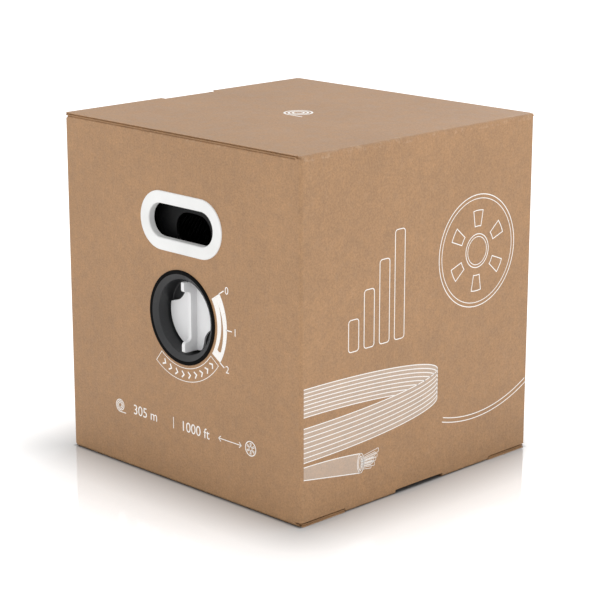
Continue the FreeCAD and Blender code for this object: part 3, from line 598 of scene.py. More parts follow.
LID_HINGE = Vector((HALF_WIDTH - BOARD, LID_UNDERSIDE))
LID_FOLD_END = HALF_DEPTH - 1.5 * MM
lid_foot = rectangle((LID_HINGE.x, WALL_TOP), (HALF_WIDTH, LID_UNDERSIDE))
lid_section = fold_section(LID_HINGE, RIGHT, UP, reach=LID_HINGE.x - LID_RIGHT)
lid_crease = join("lid_crease", [
    crease("lid_foot", lid_foot, (-RIGHT_PANEL_END, RIGHT_PANEL_END), on_front),
    crease("lid_round", lid_section, (-LID_FOLD_END, LID_FOLD_END), on_front),
])
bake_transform(lid_crease)

# ---------------------------------------------------------------- bottom
# Four bottom flaps folded under the walls: the front and back ones first, the right and left ones
# between them, with a board pad laid over them inside.

FOOT_LEVELS = (0.0, WALL_FOOT)
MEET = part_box("right_bottom_flap")[0].x
SIDE_FLAP_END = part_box("right_bottom_flap")[1].y
FRONT_FLAP_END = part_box("front_bottom_flap")[1].y
SLOT_DEEP = 14 * MM
inner_edge = HALF_DEPTH - BOARD
front_foot = rectangle((-HALF_WIDTH, -inner_edge), (HALF_WIDTH, FRONT_FLAP_END))
back_foot = rectangle((-HALF_WIDTH, -FRONT_FLAP_END), (HALF_WIDTH, inner_edge))
fluted_board("front_foot_board", front_foot, FOOT_LEVELS, 1, "carton", "front_bottom_flap")
fluted_board("back_foot_board", back_foot, FOOT_LEVELS, 1, "carton", "back_bottom_flap")
side_edge = HALF_WIDTH - BOARD
right_foot = [
    (MEET, -SIDE_FLAP_END), (side_edge, -SIDE_FLAP_END), (side_edge, -SLOT_HALF),
    (HALF_WIDTH - SLOT_DEEP, -SLOT_HALF), (HALF_WIDTH - SLOT_DEEP, SLOT_HALF),
    (side_edge, SLOT_HALF), (side_edge, SIDE_FLAP_END), (MEET, SIDE_FLAP_END),
]
left_foot = rectangle((-side_edge, -SIDE_FLAP_END), (-MEET, SIDE_FLAP_END))
fluted_board("right_foot_board", right_foot, FOOT_LEVELS, 0, "carton", "right_bottom_flap")
fluted_board("left_foot_board", left_foot, FOOT_LEVELS, 0, "carton", "left_bottom_flap")
fold_end = HALF_WIDTH - FOLD_RADIUS
for name, pivot, outwards, span, lay in (
    ("front_foot_fold", -inner_edge, -RIGHT, (-fold_end, fold_end), on_side),
    ("back_foot_fold", inner_edge, RIGHT, (-fold_end, fold_end), on_side),
    ("left_foot_fold", -side_edge, -RIGHT, (-SIDE_FLAP_END, SIDE_FLAP_END), on_front),
    ("right_foot_fold_front", side_edge, RIGHT, (-SIDE_FLAP_END, -SLOT_HALF), on_front),
    ("right_foot_fold_back", side_edge, RIGHT, (SLOT_HALF, SIDE_FLAP_END), on_front),
):
    fold = crease(name, fold_section(Vector((pivot, WALL_FOOT)), outwards, -UP), span, lay)
    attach(fold, "carton")


def dress(material, *nodes):
    """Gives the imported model's own nodes a finish."""
    for node in nodes:
        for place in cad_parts[node].material_slots:
            place.material = material


dress(kraft_board, "bottom_pad", "front_pad", "back_pad", "glue_flap")

# ---------------------------------------------------------------- printing
# One white ink, flexo printed on the board before it is cut: thin and dry, with the paper's fibres
# showing through: the dial's scale, the cable's length, and plain drawings of reels, bars and cable.

INK_LEVELS = (-0.05 * MM, 0.03 * MM)


def white_ink(name, cover):
    """Thin white ink; cover is how much of the paper it hides."""
    material, tree, shader = new_material(name, {"Specular IOR Level": 0.35})
    paper = use_group(tree, fibres, {"Colour": KRAFT_BROWN, "Scuff": 0.0})
    place = add_node(tree, "TexCoord").outputs["Object"]
    pinholes = spread(tree, noise(tree, place, 900, 4, 0.7), 0.30, 0.42, cover * 0.55, cover)
    paint(tree, shader, mixed(tree, pinholes, paper["Colour"], (0.92, 0.90, 0.87, 1)), paper["Roughness"])
    bump(tree, shader, paper["Height"], 0.25, 0.0001)
    return material


ink_white = white_ink("ink_white", 0.96)
ink_tint = white_ink("ink_tint", 0.26)
art = {}


def drawing(name):
    art[name] = ([], [])
    return name


def ink_strip(name, edges, closed=False):
    """Ink between two edges, given as pairs of points."""
    points, faces = art[name]
    faces.extend(bar_faces(len(edges) - (not closed), len(points), closed))
    points.extend((u, v, side) for pair in edges for u, v in pair for side in (0, 1))


def ink_line(name, points, width, closed=False):
    """A drawn line of one width, mitred at its corners."""
    sides = [offset_line(points, reach, closed, 0.4) for reach in (-width / 2, width / 2)]
    ink_strip(name, list(zip(*sides)), closed)


def ink_ring(name, centre, radius, width, steps=48):
    ink_line(name, circle(centre, radius, steps), width, True)


def ink_text(name, words, size, spot, align="LEFT"):
    """Plain figures in the standard typeface, as ink."""
    curve = bpy.data.curves.new(words, "FONT")
    curve.body = words
    curve.size = size
    curve.extrude = 0.5
    curve.align_x = align
    text = bpy.data.objects.new(words, curve)
    scene.collection.objects.link(text)
    graph = bpy.context.evaluated_depsgraph_get()
    mesh = bpy.data.meshes.new_from_object(text.evaluated_get(graph))
    bpy.data.objects.remove(text)
    points, faces = art[name]
    start = len(points)
    points.extend((spot[0] + v.co.x, spot[1] + v.co.y, v.co.z + 0.5) for v in mesh.vertices)
    faces.extend(tuple(start + i for i in face.vertices) for face in mesh.polygons)


def ink_reel(name, centre, radius, width):
    """A reel seen from its side: rim, openings and hub."""
    ink_ring(name, centre, radius, width, 96)
    ink_ring(name, centre, radius * 0.93, width * 0.8, 96)
    for number in range(6):
        middle = 60 * number + 29
        opening = arc(centre, radius * 0.72, middle - 10, middle + 10, 10)
        opening += arc(centre, radius * 0.44, middle + 10, middle - 10, 10)
        ink_line(name, opening, width, True)
    ink_ring(name, centre, radius * 0.30, width)
    ink_ring(name, centre, radius * 0.25, width * 0.8)


def ink_coil(name, centre, radius, width, turns):
    """A coil of cable with its end led away to the right."""
    steps = 40 * turns
    gap = width * 1.9
    spiral = []
    for i in range(steps + 1):
        a = math.radians(360 * turns * i / steps - 90)
        reach = radius - gap * (turns - turns * i / steps)
        spiral.append((centre[0] + reach * math.cos(a), centre[1] + reach * math.sin(a)))
    ink_line(name, spiral + [(centre[0] + radius * 1.25, centre[1] - radius)], width)


def print_art(name, lay, wall, outwards, body, material=ink_white):
    """Lays a drawing on a wall, just proud of the board."""
    points, faces = art[name]
    levels = [wall + outwards * level for level in INK_LEVELS]
    placed = [lay(u, v, levels[0] + (levels[1] - levels[0]) * side) for u, v, side in points]
    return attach(shape(name, placed, faces, material), body)


WEDGE_END = 24
WEDGE_HALF = 2.8 * MM


def wedge_half(angle):
    """Half height of the wedge that grows round the dial's scale, at an angle in degrees."""
    return WEDGE_HALF * min(max((WEDGE_END - angle) / (2 * WEDGE_END), 0), 1) if angle > -WEDGE_END else 0.0


scale = drawing("print_dial_scale")
axis = (DIAL_X, DIAL_Z)
SCALE_REACH = 32.5
SCALE_STEPS = 64
BAND = (55 * MM, 69.5 * MM)
TICK_END, FIGURE_START, FIGURE_SIZE = 77 * MM, 79 * MM, 11.5 * MM
band_middle = sum(BAND) / 2
angles = [SCALE_REACH - 2 * SCALE_REACH * i / SCALE_STEPS for i in range(SCALE_STEPS + 1)]


def polar(radius, angle):
    return arc(axis, radius, angle, angle, 1)[0]


ink_strip(scale, [(polar(BAND[0], a), polar(band_middle - wedge_half(a), a)) for a in angles])
ink_strip(scale, [(polar(band_middle + wedge_half(a), a), polar(BAND[1], a)) for a in angles])
for figure, angle in (("0", SCALE_REACH), ("1", 0), ("2", -SCALE_REACH)):
    ink_line(scale, [polar(BAND[1] - 1 * MM, angle), polar(TICK_END, angle)], 1.3 * MM)
    spot = polar(FIGURE_START, angle)
    ink_text(scale, figure, FIGURE_SIZE, (spot[0], spot[1] - 4 * MM))
BANNER_START, BANNER_END = -128, -36.5
banner = arc(axis, BAND[1], BANNER_START, BANNER_END, 44) + arc(axis, BAND[0], BANNER_END, BANNER_START, 44)
ink_line(scale, banner, 0.7 * MM, True)
CHEVRONS, CHEVRON_START, CHEVRON_STEP, CHEVRON_LEAN, CHEVRON_HALF = 9, -120, 9.4, 3.2, 3.6 * MM
for number in range(CHEVRONS):
    angle = CHEVRON_START + CHEVRON_STEP * number
    tip = polar(band_middle, angle + CHEVRON_LEAN)
    chevron = [polar(band_middle + CHEVRON_HALF, angle), tip, polar(band_middle - CHEVRON_HALF, angle)]
    ink_line(scale, chevron, 1.7 * MM)
print_art(scale, on_front, -HALF_DEPTH, -1, "carton")

line = drawing("print_length_line")
LINE_Z = 62 * MM
LINE_LEFT, LINE_RIGHT = -108 * MM, 118 * MM
LINE_MIDDLE = LINE_Z + 5.5 * MM
LENGTH_SIZE, RULE = 16 * MM, 0.9 * MM
DIVIDER = DIAL_X - 17 * MM
ARROW_START, ARROW_END = DIAL_X + 55 * MM, LINE_RIGHT - 22 * MM
BARB_LONG, BARB_HALF = 3.5 * MM, 3 * MM
ink_coil(line, (LINE_LEFT + 8 * MM, LINE_Z + 5 * MM), 7.5 * MM, 1.0 * MM, 3)
ink_text(line, "305 m", LENGTH_SIZE, (LINE_LEFT + 30 * MM, LINE_Z))
ink_line(line, [(DIVIDER, LINE_Z - 1 * MM), (DIVIDER, LINE_Z + 12 * MM)], RULE)
ink_text(line, "1000 ft", LENGTH_SIZE, (DIAL_X - 5 * MM, LINE_Z))
ink_reel(line, (LINE_RIGHT - 8 * MM, LINE_MIDDLE), 8 * MM, 0.7 * MM)
ink_line(line, [(ARROW_START, LINE_MIDDLE), (ARROW_END, LINE_MIDDLE)], RULE)
for tip, back in ((ARROW_START, BARB_LONG), (ARROW_END, -BARB_LONG)):
    barb = [(tip + back * abs(rise), LINE_MIDDLE + BARB_HALF * rise) for rise in (1, 0, -1)]
    ink_line(line, barb, RULE)
print_art(line, on_front, -HALF_DEPTH, -1, "carton")

side_art = drawing("print_right_side")
SIDE_LINE = 1.0 * MM
EDGE = -RIGHT_PANEL_END
LOOPS = 8
FAR_STEP, NEAR_STEP = 4.2 * MM, 5.2 * MM
HIDDEN_SHARE = 1.05
LOOP_HALF = 20.7 * MM
LOOP_REACH = 203 * MM
LOOP_Z = 126 * MM


def loop_point(turn, number=0):
    """A point of one line of a flat band of cable; turn is 0 at its far strand and 180 at the near one."""
    far = (1 + math.cos(math.radians(turn))) / 2
    step = FAR_STEP * far + NEAR_STEP * (1 - far)
    level = LOOP_Z + LOOP_HALF * (2 * far - 1) - step * number
    return (EDGE + LOOP_REACH * math.sin(math.radians(turn)), level)


near_strand = [[loop_point(turn, number) for turn in range(90, 181, 3)] for number in range(LOOPS)]
for number in range(LOOPS):
    hidden = math.degrees(math.acos(FAR_STEP * HIDDEN_SHARE * number / (2 * LOOP_HALF)))
    ink_line(side_art, [loop_point(hidden * i / 30, number) for i in range(31)], SIDE_LINE)
    ink_line(side_art, near_strand[number], SIDE_LINE)
ink_line(side_art, [near_strand[0][0], near_strand[-1][0]], SIDE_LINE)

TAIL = 84 * MM
TAIL_TOP, TAIL_TOP_DROP = 64 * MM, 5 * MM
TAIL_LOW, TAIL_LOW_DROP = 50.5 * MM, 13 * MM
along = [i / 12 for i in range(13)]
tail_top = [(EDGE + TAIL * share, TAIL_TOP - TAIL_TOP_DROP * share ** 2) for share in along]
tail_low = [(EDGE + TAIL * share, TAIL_LOW - TAIL_LOW_DROP * share) for share in along]
ink_line(side_art, tail_top, SIDE_LINE)
ink_line(side_art, tail_low, SIDE_LINE)
tail_end = (EDGE + TAIL, (tail_top[-1][1] + tail_low[-1][1]) / 2)
MOUTH_WIDE, MOUTH_TALL = 5 * MM, 10.7 * MM
for squeeze in (1.0, 0.72):
    mouth = circle((0, 0), squeeze, 36)
    mouth = [(tail_end[0] + MOUTH_WIDE * u, tail_end[1] + MOUTH_TALL * v) for u, v in mouth]
    ink_line(side_art, mouth, 0.7 * MM, True)
WIRE_START, WIRE_HALF, WIRE_FAN = 2 * MM, 0.9 * MM, 60 * MM
for number, rise in enumerate((6.6, 2.2, -2.2, -6.6)):
    for wire, long in ((1.1, 27 - 2 * number), (-1.1, 22 - 2 * number)):
        level = (rise + wire) * MM
        low, high = (WIRE_START, level - WIRE_HALF), (long * MM, level + WIRE_HALF)
        outline = rounded_rectangle(low, high, 0.85 * MM, 3)
        fanned = [(tail_end[0] + u, tail_end[1] + v * (0.8 + u / WIRE_FAN)) for u, v in outline]
        ink_line(side_art, fanned, 0.55 * MM, True)

BARS_LEFT, BAR_FOOT, BAR_WIDE, BAR_STEP = -112 * MM, 172 * MM, 15 * MM, 23 * MM
for number, tall in enumerate((34 * MM, 62 * MM, 90 * MM, 118 * MM)):
    bar = rounded_rectangle((-BAR_WIDE / 2, -tall / 2), (BAR_WIDE / 2, tall / 2), 3.5 * MM, 5)
    middle = (BARS_LEFT + BAR_STEP * number + BAR_WIDE / 2, BAR_FOOT + tall / 2)
    ink_line(side_art, [(u + middle[0], v + middle[1]) for u, v in bar], SIDE_LINE, True)
REEL_MIDDLE = (88 * MM, 246 * MM)
ink_reel(side_art, REEL_MIDDLE, 62 * MM, SIDE_LINE)
for radius in (185 * MM, 190 * MM):
    ink_line(side_art, arc(REEL_MIDDLE, radius, -106, -61.5, 30), SIDE_LINE)
print_art(side_art, on_side, HALF_WIDTH, 1, "carton")

tint = drawing("print_cable_tint")
ink_strip(tint, list(zip(near_strand[-1], near_strand[0])))
far_strand = []
for turn in range(0, 91, 3):
    top = loop_point(turn)
    low = max(loop_point(turn, LOOPS - 1)[1], loop_point(180 - turn)[1])
    far_strand.append(((top[0], low), top))
ink_strip(tint, far_strand)
ink_strip(tint, list(zip(tail_low, tail_top)))
points, faces = art[tint]
TINT_DEPTH = 0.8
art[tint] = ([(u, v, side * TINT_DEPTH) for u, v, side in points], faces)
print_art(tint, on_side, HALF_WIDTH, 1, "carton", ink_tint)

lid_art = drawing("print_lid_coil")
ink_coil(lid_art, (0.0, 0.0), 17 * MM, 2.4 * MM, 3)
print_art(lid_art, on_top, LID_TOP, 1, "lid")

# ---------------------------------------------------------------- cable port
# A white moulded bezel pushed through the front wall, with a broad flat lip and a smooth throat for
# the cable; a lock ring holds it from behind.


def smooth_corners(points, radii, steps=5):
    """A closed outline with each corner rounded by its own radius."""
    made = []
    for i, radius in enumerate(radii):
        here = Vector(points[i])
        ways = [(Vector(points[i - 1]) - here), (Vector(points[(i + 1) % len(points)]) - here)]
        if not radius:
            made.append(tuple(here))
            continue
        lean = ways[0].angle(ways[1]) / 2
        run = radius / math.tan(lean)
        ends = [here + way.normalized() * run for way in ways]
        centre = here + (ways[0].normalized() + ways[1].normalized()).normalized() * radius / math.sin(lean)
        for step in range(steps + 1):
            spoke = (ends[0] - centre).lerp(ends[1] - centre, step / steps)
            made.append(tuple(centre + spoke.normalized() * radius))
    return made


def swept(name, section, rail, material):
    """A closed section carried round a closed rail; rail(offset) gives the rail's points that far out."""
    rails = [rail(offset) for offset, level in section]
    levels = [level for offset, level in section]
    points = [(u, level, v) for ring in zip(*rails) for (u, v), level in zip(ring, levels)]
    return shape(name, points, ring_faces(len(rails[0]), len(section)), material)


skin, asked, result = node_tree(
    "moulded_surface",
    [
        ("Colour", "Color", (0.5, 0.5, 0.5, 1)), ("Roughness", "Float", 0.4),
        ("Grain", "Float", 1500.0), ("Dust", "Float", 0.1),
    ],
    [("Colour", "Color"), ("Roughness", "Float"), ("Height", "Float")],
)
place = add_node(skin, "TexCoord").outputs["Object"]
flow = noise(skin, place, 26, 3)
spark = noise(skin, place, asked["Grain"], 2)
wear = spread(skin, noise(skin, place, 210, 6, 0.7), 0.55, 0.72, 0, 1)
tone = spread(skin, flow, 0.3, 0.7, 0.95, 1.05)
toned = mixed(skin, 1.0, asked["Colour"], tone, "MULTIPLY")
dust = calc(skin, "MULTIPLY", wear, asked["Dust"])
dusty = mixed(skin, dust, toned, (0.45, 0.40, 0.34, 1))
skin.links.new(dusty, result["Colour"])
worn = calc(skin, "MULTIPLY", wear, 0.06)
shift = calc(skin, "ADD", spread(skin, flow, 0.3, 0.7, -0.03, 0.03), worn)
skin.links.new(calc(skin, "ADD", asked["Roughness"], shift), result["Roughness"])
skin.links.new(spark, result["Height"])


def moulded(name, colour, roughness, depth, dust=0.06, specular=0.5, grain=1500.0):
    """A moulded plastic; depth is how strongly its fine texture catches the light."""
    material, tree, shader = new_material(name, {"Specular IOR Level": specular})
    given = {"Colour": colour, "Roughness": roughness, "Grain": grain, "Dust": dust}
    surface = use_group(tree, skin, given)
    paint(tree, shader, surface["Colour"], surface["Roughness"])
    bump(tree, shader, surface["Height"], depth, 0.00006)
    return material


port_white = moulded("port_white", (0.80, 0.80, 0.79, 1), 0.36, 0.18, 0.03)
PORT_FRONT, PORT_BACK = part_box("cable_port")[0].y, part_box("cable_port")[1].y
PORT_LIP = 13.5 * MM
port_section = smooth_corners(
    [
        (0.0, PORT_BACK), (0.0, PORT_FRONT), (PORT_LIP, PORT_FRONT),
        (PORT_LIP, -HALF_DEPTH), (PORT_WALL, -HALF_DEPTH), (PORT_WALL, PORT_BACK),
    ],
    [0.5 * MM, 1.6 * MM, 1.1 * MM, 0, 0, 0.5 * MM],
)


def port_rail(offset):
    return stadium((DIAL_X, PORT_Z), PORT_STRAIGHT, PORT_RADIUS + offset)


port_bezel = swept("port_bezel", port_section, port_rail, port_white)
soften(port_bezel, sharp=40)
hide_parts("cable_port")
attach(port_bezel, "carton")
dress(port_white, "cable_port_ring")

# ---------------------------------------------------------------- journals
# Black moulded cups that hang the reel in the walls: a bead, darkened as painted shade round the rim, a
# dished face and a deep tube, locked inside by threaded rings. The front one holds the brake; the back one is
# closed.

LATHE_STEPS = 128


def lathe(name, section, material):
    """A closed section of (radius, level) turned about the dial's axis."""
    return swept(name, section, lambda radius: circle(axis, radius, LATHE_STEPS), material)


# The rim's bead gets a near-black, matte copy of the cups' plastic: painted shade round each cup's rim.
journal_rim_painted_shade = moulded("journal_rim_painted_shade", (0.0025, 0.0025, 0.0025, 1), 0.8, 0.4, 0.02, 0.08)
journal_satin = moulded("journal_satin", (0.015, 0.0155, 0.017, 1), 0.44, 0.5, 0.03)
JOURNAL_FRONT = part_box("front_journal")[0].y
JOURNAL_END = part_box("front_journal")[1].y
FLOOR_FRONT, FLOOR_BACK = -158.5 * MM, -155.5 * MM
LIP, DISH, TUBE, CUP, SPINDLE_BORE = 51.5 * MM, 47.2 * MM, 43 * MM, 41 * MM, 7.3 * MM
DISH_BACK = JOURNAL_FRONT + 4.5 * MM
NECK_END = 2 * BOARD - HALF_DEPTH
front_section = smooth_corners(
    [
        (SPINDLE_BORE, FLOOR_FRONT), (CUP, FLOOR_FRONT), (CUP, DISH_BACK), (DISH, JOURNAL_FRONT + 0.6 * MM),
        (DISH + 0.5 * MM, JOURNAL_FRONT), (LIP, JOURNAL_FRONT), (LIP, -HALF_DEPTH),
        (NECK_RADIUS, -HALF_DEPTH), (NECK_RADIUS, NECK_END), (TUBE, NECK_END),
        (TUBE, JOURNAL_END), (CUP, JOURNAL_END),
        (CUP, FLOOR_BACK), (SPINDLE_BORE, FLOOR_BACK),
    ],
    [0, 1.2 * MM, 0.8 * MM, 0.2 * MM, 0.2 * MM, 1.3 * MM, 0, 0, 0, 0, 0.3 * MM, 0.3 * MM, 0, 0],
)
front_cup = lathe("front_journal_cup", front_section, journal_satin)
KEY_HALF, KEY_INNER, KEY_OUTER = 3.2 * MM, 38 * MM, 46 * MM
key_levels = (33 * MM - HALF_DEPTH, JOURNAL_END + SEAM_SLACK)
for angle in (30, 150, 270):
    way = Vector((math.cos(math.radians(angle)), math.sin(math.radians(angle))))
    side = Vector((-way.y, way.x))
    corners = rectangle((KEY_INNER, -KEY_HALF), (KEY_OUTER, KEY_HALF))
    key_slot = [tuple(Vector(axis) + way * along + side * across) for along, across in corners]
    cut(front_cup, prism("key_slot", key_slot, key_levels, on_front))

BACK_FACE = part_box("back_journal")[1].y
BACK_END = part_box("back_journal")[0].y
BACK_FLOOR = HALF_DEPTH - 3 * MM
AXIS_POLE = 0.01 * MM
back_section = smooth_corners(
    [
        (AXIS_POLE, BACK_FLOOR), (CUP, BACK_FLOOR), (DISH, BACK_FACE - 0.6 * MM),
        (DISH + 0.5 * MM, BACK_FACE), (LIP, BACK_FACE), (LIP, HALF_DEPTH),
        (NECK_RADIUS, HALF_DEPTH), (NECK_RADIUS, -NECK_END),
        (TUBE, -NECK_END), (TUBE, BACK_END), (CUP, BACK_END),
        (CUP, BACK_FLOOR - BOARD), (AXIS_POLE, BACK_FLOOR - BOARD),
    ],
    [0, 0.8 * MM, 0.2 * MM, 0.2 * MM, 1.3 * MM, 0, 0, 0, 0, 0.3 * MM, 0.3 * MM, 0, 0],
)
back_cup = lathe("back_journal_cup", back_section, journal_satin)
for cup, node in ((front_cup, "front_journal"), (back_cup, "back_journal")):
    cup.data.materials.append(journal_rim_painted_shade)
    soften(cup, sharp=40)
    # Faces of the bead outside the dish take the darker copy: painted shade.
    for face in cup.data.polygons:
        outside = math.hypot(face.center.x - axis[0], face.center.z - axis[1])
        face.material_index = int(outside > DISH and abs(face.center.y) > HALF_DEPTH)
    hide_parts(node)
    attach(cup, "carton")
dress(journal_satin, "front_journal_ring", "back_journal_ring", "spring_retainer")

# ---------------------------------------------------------------- brake dial
# A pale grey moulded knob: a disc with two finger notches, a grip rib across it that rises into an
# ear at each end, and a spindle through the cup's floor.

dial_grey = moulded("dial_grey", (0.78, 0.78, 0.785, 1), 0.38, 0.3, 0.03)
DIAL_RADIUS = 38.5 * MM
DISC_FRONT, DISC_BACK = -162.5 * MM, -159.5 * MM
RIB_FOOT = DISC_BACK - 0.5 * MM
RIB_CREST, EAR_CREST = -170 * MM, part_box("brake_dial")[0].y
RIB_ROOT_HALF, RIB_CREST_HALF = 3.6 * MM, 2.3 * MM
EAR_START = 27.5 * MM
dial_rim = circle(axis, DIAL_RADIUS, 144)
dial = prism("dial_knob", dial_rim, (DISC_FRONT, DISC_BACK), on_front, dial_grey)
NOTCH = [
    (41, -7), (34, -9.6), (27, -11.4), (22.5, -13.6), (19, -16.8), (16.2, -20.5),
    (14.4, -25), (13.4, -30), (12.2, -34), (10, -37.3), (8, -41), (41, -41),
]
notch_rounds = [0] + [2.5 * MM] * 9 + [0, 0]
for side in (1, -1):
    notch = [(axis[0] + side * u * MM, axis[1] + side * v * MM) for u, v in NOTCH]
    notch = smooth_corners(notch, notch_rounds, 3)
    cut(dial, prism("finger_notch", notch, (DISC_FRONT - SEAM_SLACK, DISC_BACK + SEAM_SLACK), on_front))

rib_side = smooth_corners(
    [
        (-DIAL_RADIUS, RIB_FOOT), (-DIAL_RADIUS, EAR_CREST), (-EAR_START, EAR_CREST), (-EAR_START, RIB_CREST),
        (EAR_START, RIB_CREST), (EAR_START, EAR_CREST), (DIAL_RADIUS, EAR_CREST), (DIAL_RADIUS, RIB_FOOT),
    ],
    [0, 1.5 * MM, 3 * MM, 4.5 * MM, 4.5 * MM, 3 * MM, 1.5 * MM, 0],
)


def rib_spot(z, y, side):
    """A point of the grip rib, which narrows from its root to its crest."""
    rise = min(max((DISC_FRONT - y) / (DISC_FRONT - RIB_CREST), 0), 1)
    half = RIB_ROOT_HALF + (RIB_CREST_HALF - RIB_ROOT_HALF) * rise
    return Vector((DIAL_X + side * half, y, DIAL_Z + z))


rib = prism("grip_rib", rib_side, (-1, 1), rib_spot, dial_grey)
cut(rib, prism("rib_ends", dial_rim, (EAR_CREST - SEAM_SLACK, DISC_BACK), on_front), "INTERSECT")
cut(dial, rib, "UNION")
SCREW_HOLE, SPINDLE_RADIUS = 2 * MM, 7 * MM
spindle_low, spindle_high = (SCREW_HOLE, DISC_BACK - 1 * MM), (SPINDLE_RADIUS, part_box("brake_dial")[1].y)
spindle_section = smooth_corners(rectangle(spindle_low, spindle_high), [0, 0, 0.3 * MM, 0.3 * MM])
spindle = lathe("spindle", spindle_section, dial_grey)
face_outwards(dial)
soften(dial, 0.8 * MM, 3, 38)
soften(spindle, sharp=38)
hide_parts("brake_dial")
for piece in (dial, spindle):
    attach(piece, "dial")

# ---------------------------------------------------------------- brake
# Behind the cup's floor a cam with three pins turns with the dial and pushes a ramped plunger with a
# felt pad against the reel's hub; a flat wire wave spring presses the plunger back.

brake_plastic = moulded("brake_plastic", (0.30, 0.30, 0.29, 1), 0.5, 0.4, 0.04)
zinc_steel, tree, shader = new_material("zinc_steel", {"Metallic": 1.0})
place = add_node(tree, "TexCoord").outputs["Object"]
crystal = add_node(tree, "TexVoronoi", {"Vector": place, "Scale": 700}).outputs["Color"]
zinc = mixed(tree, spread(tree, crystal, 0, 1, 0.42, 0.6), (0.42, 0.44, 0.46, 1), (0.72, 0.73, 0.72, 1))
paint(tree, shader, zinc, spread(tree, noise(tree, place, 300), 0.3, 0.7, 0.24, 0.42))
spring_steel, tree, shader = new_material("spring_steel", {"Metallic": 1.0})
place = add_node(tree, "TexCoord").outputs["Object"]
temper = mixed(tree, noise(tree, place, 140, 4), (0.30, 0.27, 0.24, 1), (0.52, 0.50, 0.47, 1))
paint(tree, shader, temper, spread(tree, noise(tree, place, 900), 0.3, 0.7, 0.22, 0.36))
felt_settings = {"Sheen Weight": 0.5, "Sheen Roughness": 0.6, "Roughness": 0.95}
brake_felt, tree, shader = new_material("brake_felt", felt_settings)
place = add_node(tree, "TexCoord").outputs["Object"]
hair_given = {"Vector": place, "Scale": 620, "Detail": 5, "Distortion": 2.2}
hair_field = add_node(tree, "TexNoise", hair_given).outputs[0]
felt_tone = mixed(tree, hair_field, (0.05, 0.047, 0.043, 1), (0.17, 0.16, 0.145, 1))
tree.links.new(felt_tone, shader.inputs["Base Color"])
bump(tree, shader, hair_field, 0.9, 0.0003)

dress(brake_plastic, "brake_cam", "brake_plunger")
dress(zinc_steel, "dial_screw")
dress(brake_felt, "brake_pad")

SPRING_INNER, SPRING_OUTER, STRIP = 32.5 * MM, 36.5 * MM, 0.6 * MM
spring_low, spring_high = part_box("brake_spring")[0].y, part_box("brake_spring")[1].y
SPRING_TURNS, SPRING_STEPS = 2, 96
WAVES_PER_TURN = 3.5
spring_pitch = (spring_high - spring_low) / (SPRING_TURNS + 1)
wave_rise = (spring_pitch - STRIP) / 2
spring_points = []
for i in range(SPRING_STEPS * SPRING_TURNS + 1):
    turn = i / SPRING_STEPS
    wave = wave_rise * (1 + math.sin(2 * math.pi * WAVES_PER_TURN * turn))
    level = spring_low + spring_pitch * turn + wave
    for radius in (SPRING_INNER, SPRING_OUTER):
        u, v = polar(radius, 360 * turn)
        spring_points += [(u, level, v), (u, level + STRIP, v)]
spring_faces = bar_faces(SPRING_STEPS * SPRING_TURNS)
wave_spring = soften(shape("wave_spring", spring_points, spring_faces, spring_steel), sharp=40)
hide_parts("brake_spring")
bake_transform(wave_spring)

# ---------------------------------------------------------------- reel
# Two ribbed black flanges and their hubs on a round barrel, held together by six long bolts with
# hexagon heads and nuts.

reel_black = moulded("reel_black", (0.004, 0.004, 0.0045, 1), 0.45, 0.55, 0.02, 0.13)
dress(reel_black, "front_flange", "back_flange", "front_hub", "back_hub", "barrel")


def geometry_tree(name, *sizes):
    """A tree of geometry nodes whose inputs are a mesh, some sizes and a material."""
    mesh = [("Geometry", "Geometry")]
    inputs = mesh + [(size, "Float") for size in sizes] + [("Material", "Material")]
    return node_tree(name, inputs, mesh, "Geometry")


def geometry_node(tree, kind, given=None):
    return add_node(tree, kind, given, "Geometry").outputs


def finish_tree(tree, geometry, material, result):
    whole = geometry_node(tree, "RealizeInstances", {0: geometry})[0]
    finished = geometry_node(tree, "SetMaterial", {"Geometry": whole, "Material": material})[0]
    tree.links.new(finished, result[0])


def grow(piece, tree, settings):
    """Runs a tree on a piece with these settings, and keeps its result as a plain mesh."""
    modifier = piece.modifiers.new(tree.name, "NODES")
    modifier.node_group = tree
    sockets = {item.name: item.identifier for item in tree.interface.items_tree if item.in_out == "INPUT"}
    for name, setting in settings.items():
        modifier[sockets[name]] = setting
    return settle(piece)


fastener, asked, result = geometry_tree(
    "hex_fastener", "Head Radius", "Head Height", "Shank Radius", "Shank Length"
)
head_given = {"Vertices": 6, "Radius": asked["Head Radius"], "Depth": asked["Head Height"]}
head = geometry_node(fastener, "MeshCylinder", head_given)["Mesh"]
CROWN_SHARE, CROWN_HEIGHT = 0.78, 0.4 * MM
crown_top = calc(fastener, "MULTIPLY", asked["Head Radius"], CROWN_SHARE)
crown = geometry_node(fastener, "MeshCone", {
    "Vertices": 6, "Radius Top": crown_top, "Radius Bottom": asked["Head Radius"], "Depth": CROWN_HEIGHT,
})["Mesh"]
head_half = calc(fastener, "MULTIPLY", asked["Head Height"], 0.5)
crown_shift = add_node(fastener, "CombineXYZ", {"Z": head_half}).outputs[0]
crown = geometry_node(fastener, "Transform", {"Geometry": crown, "Translation": crown_shift})[0]
shank_given = {"Vertices": 16, "Radius": asked["Shank Radius"], "Depth": asked["Shank Length"]}
shank = geometry_node(fastener, "MeshCylinder", shank_given)["Mesh"]
whole_length = calc(fastener, "ADD", asked["Shank Length"], asked["Head Height"])
shank_middle = calc(fastener, "MULTIPLY", whole_length, -0.5)
shank_shift = add_node(fastener, "CombineXYZ", {"Z": shank_middle}).outputs[0]
shank = geometry_node(fastener, "Transform", {"Geometry": shank, "Translation": shank_shift})[0]
bolt = geometry_node(fastener, "JoinGeometry")
for part in (head, crown, shank):
    fastener.links.new(part, bolt[0].node.inputs[0])
FACING_FRONT = (math.radians(90), 0, 0)
placed_given = {"Points": asked["Geometry"], "Instance": bolt[0], "Rotation": FACING_FRONT}
placed = geometry_node(fastener, "InstanceOnPoints", placed_given)[0]
finish_tree(fastener, placed, asked["Material"], result)

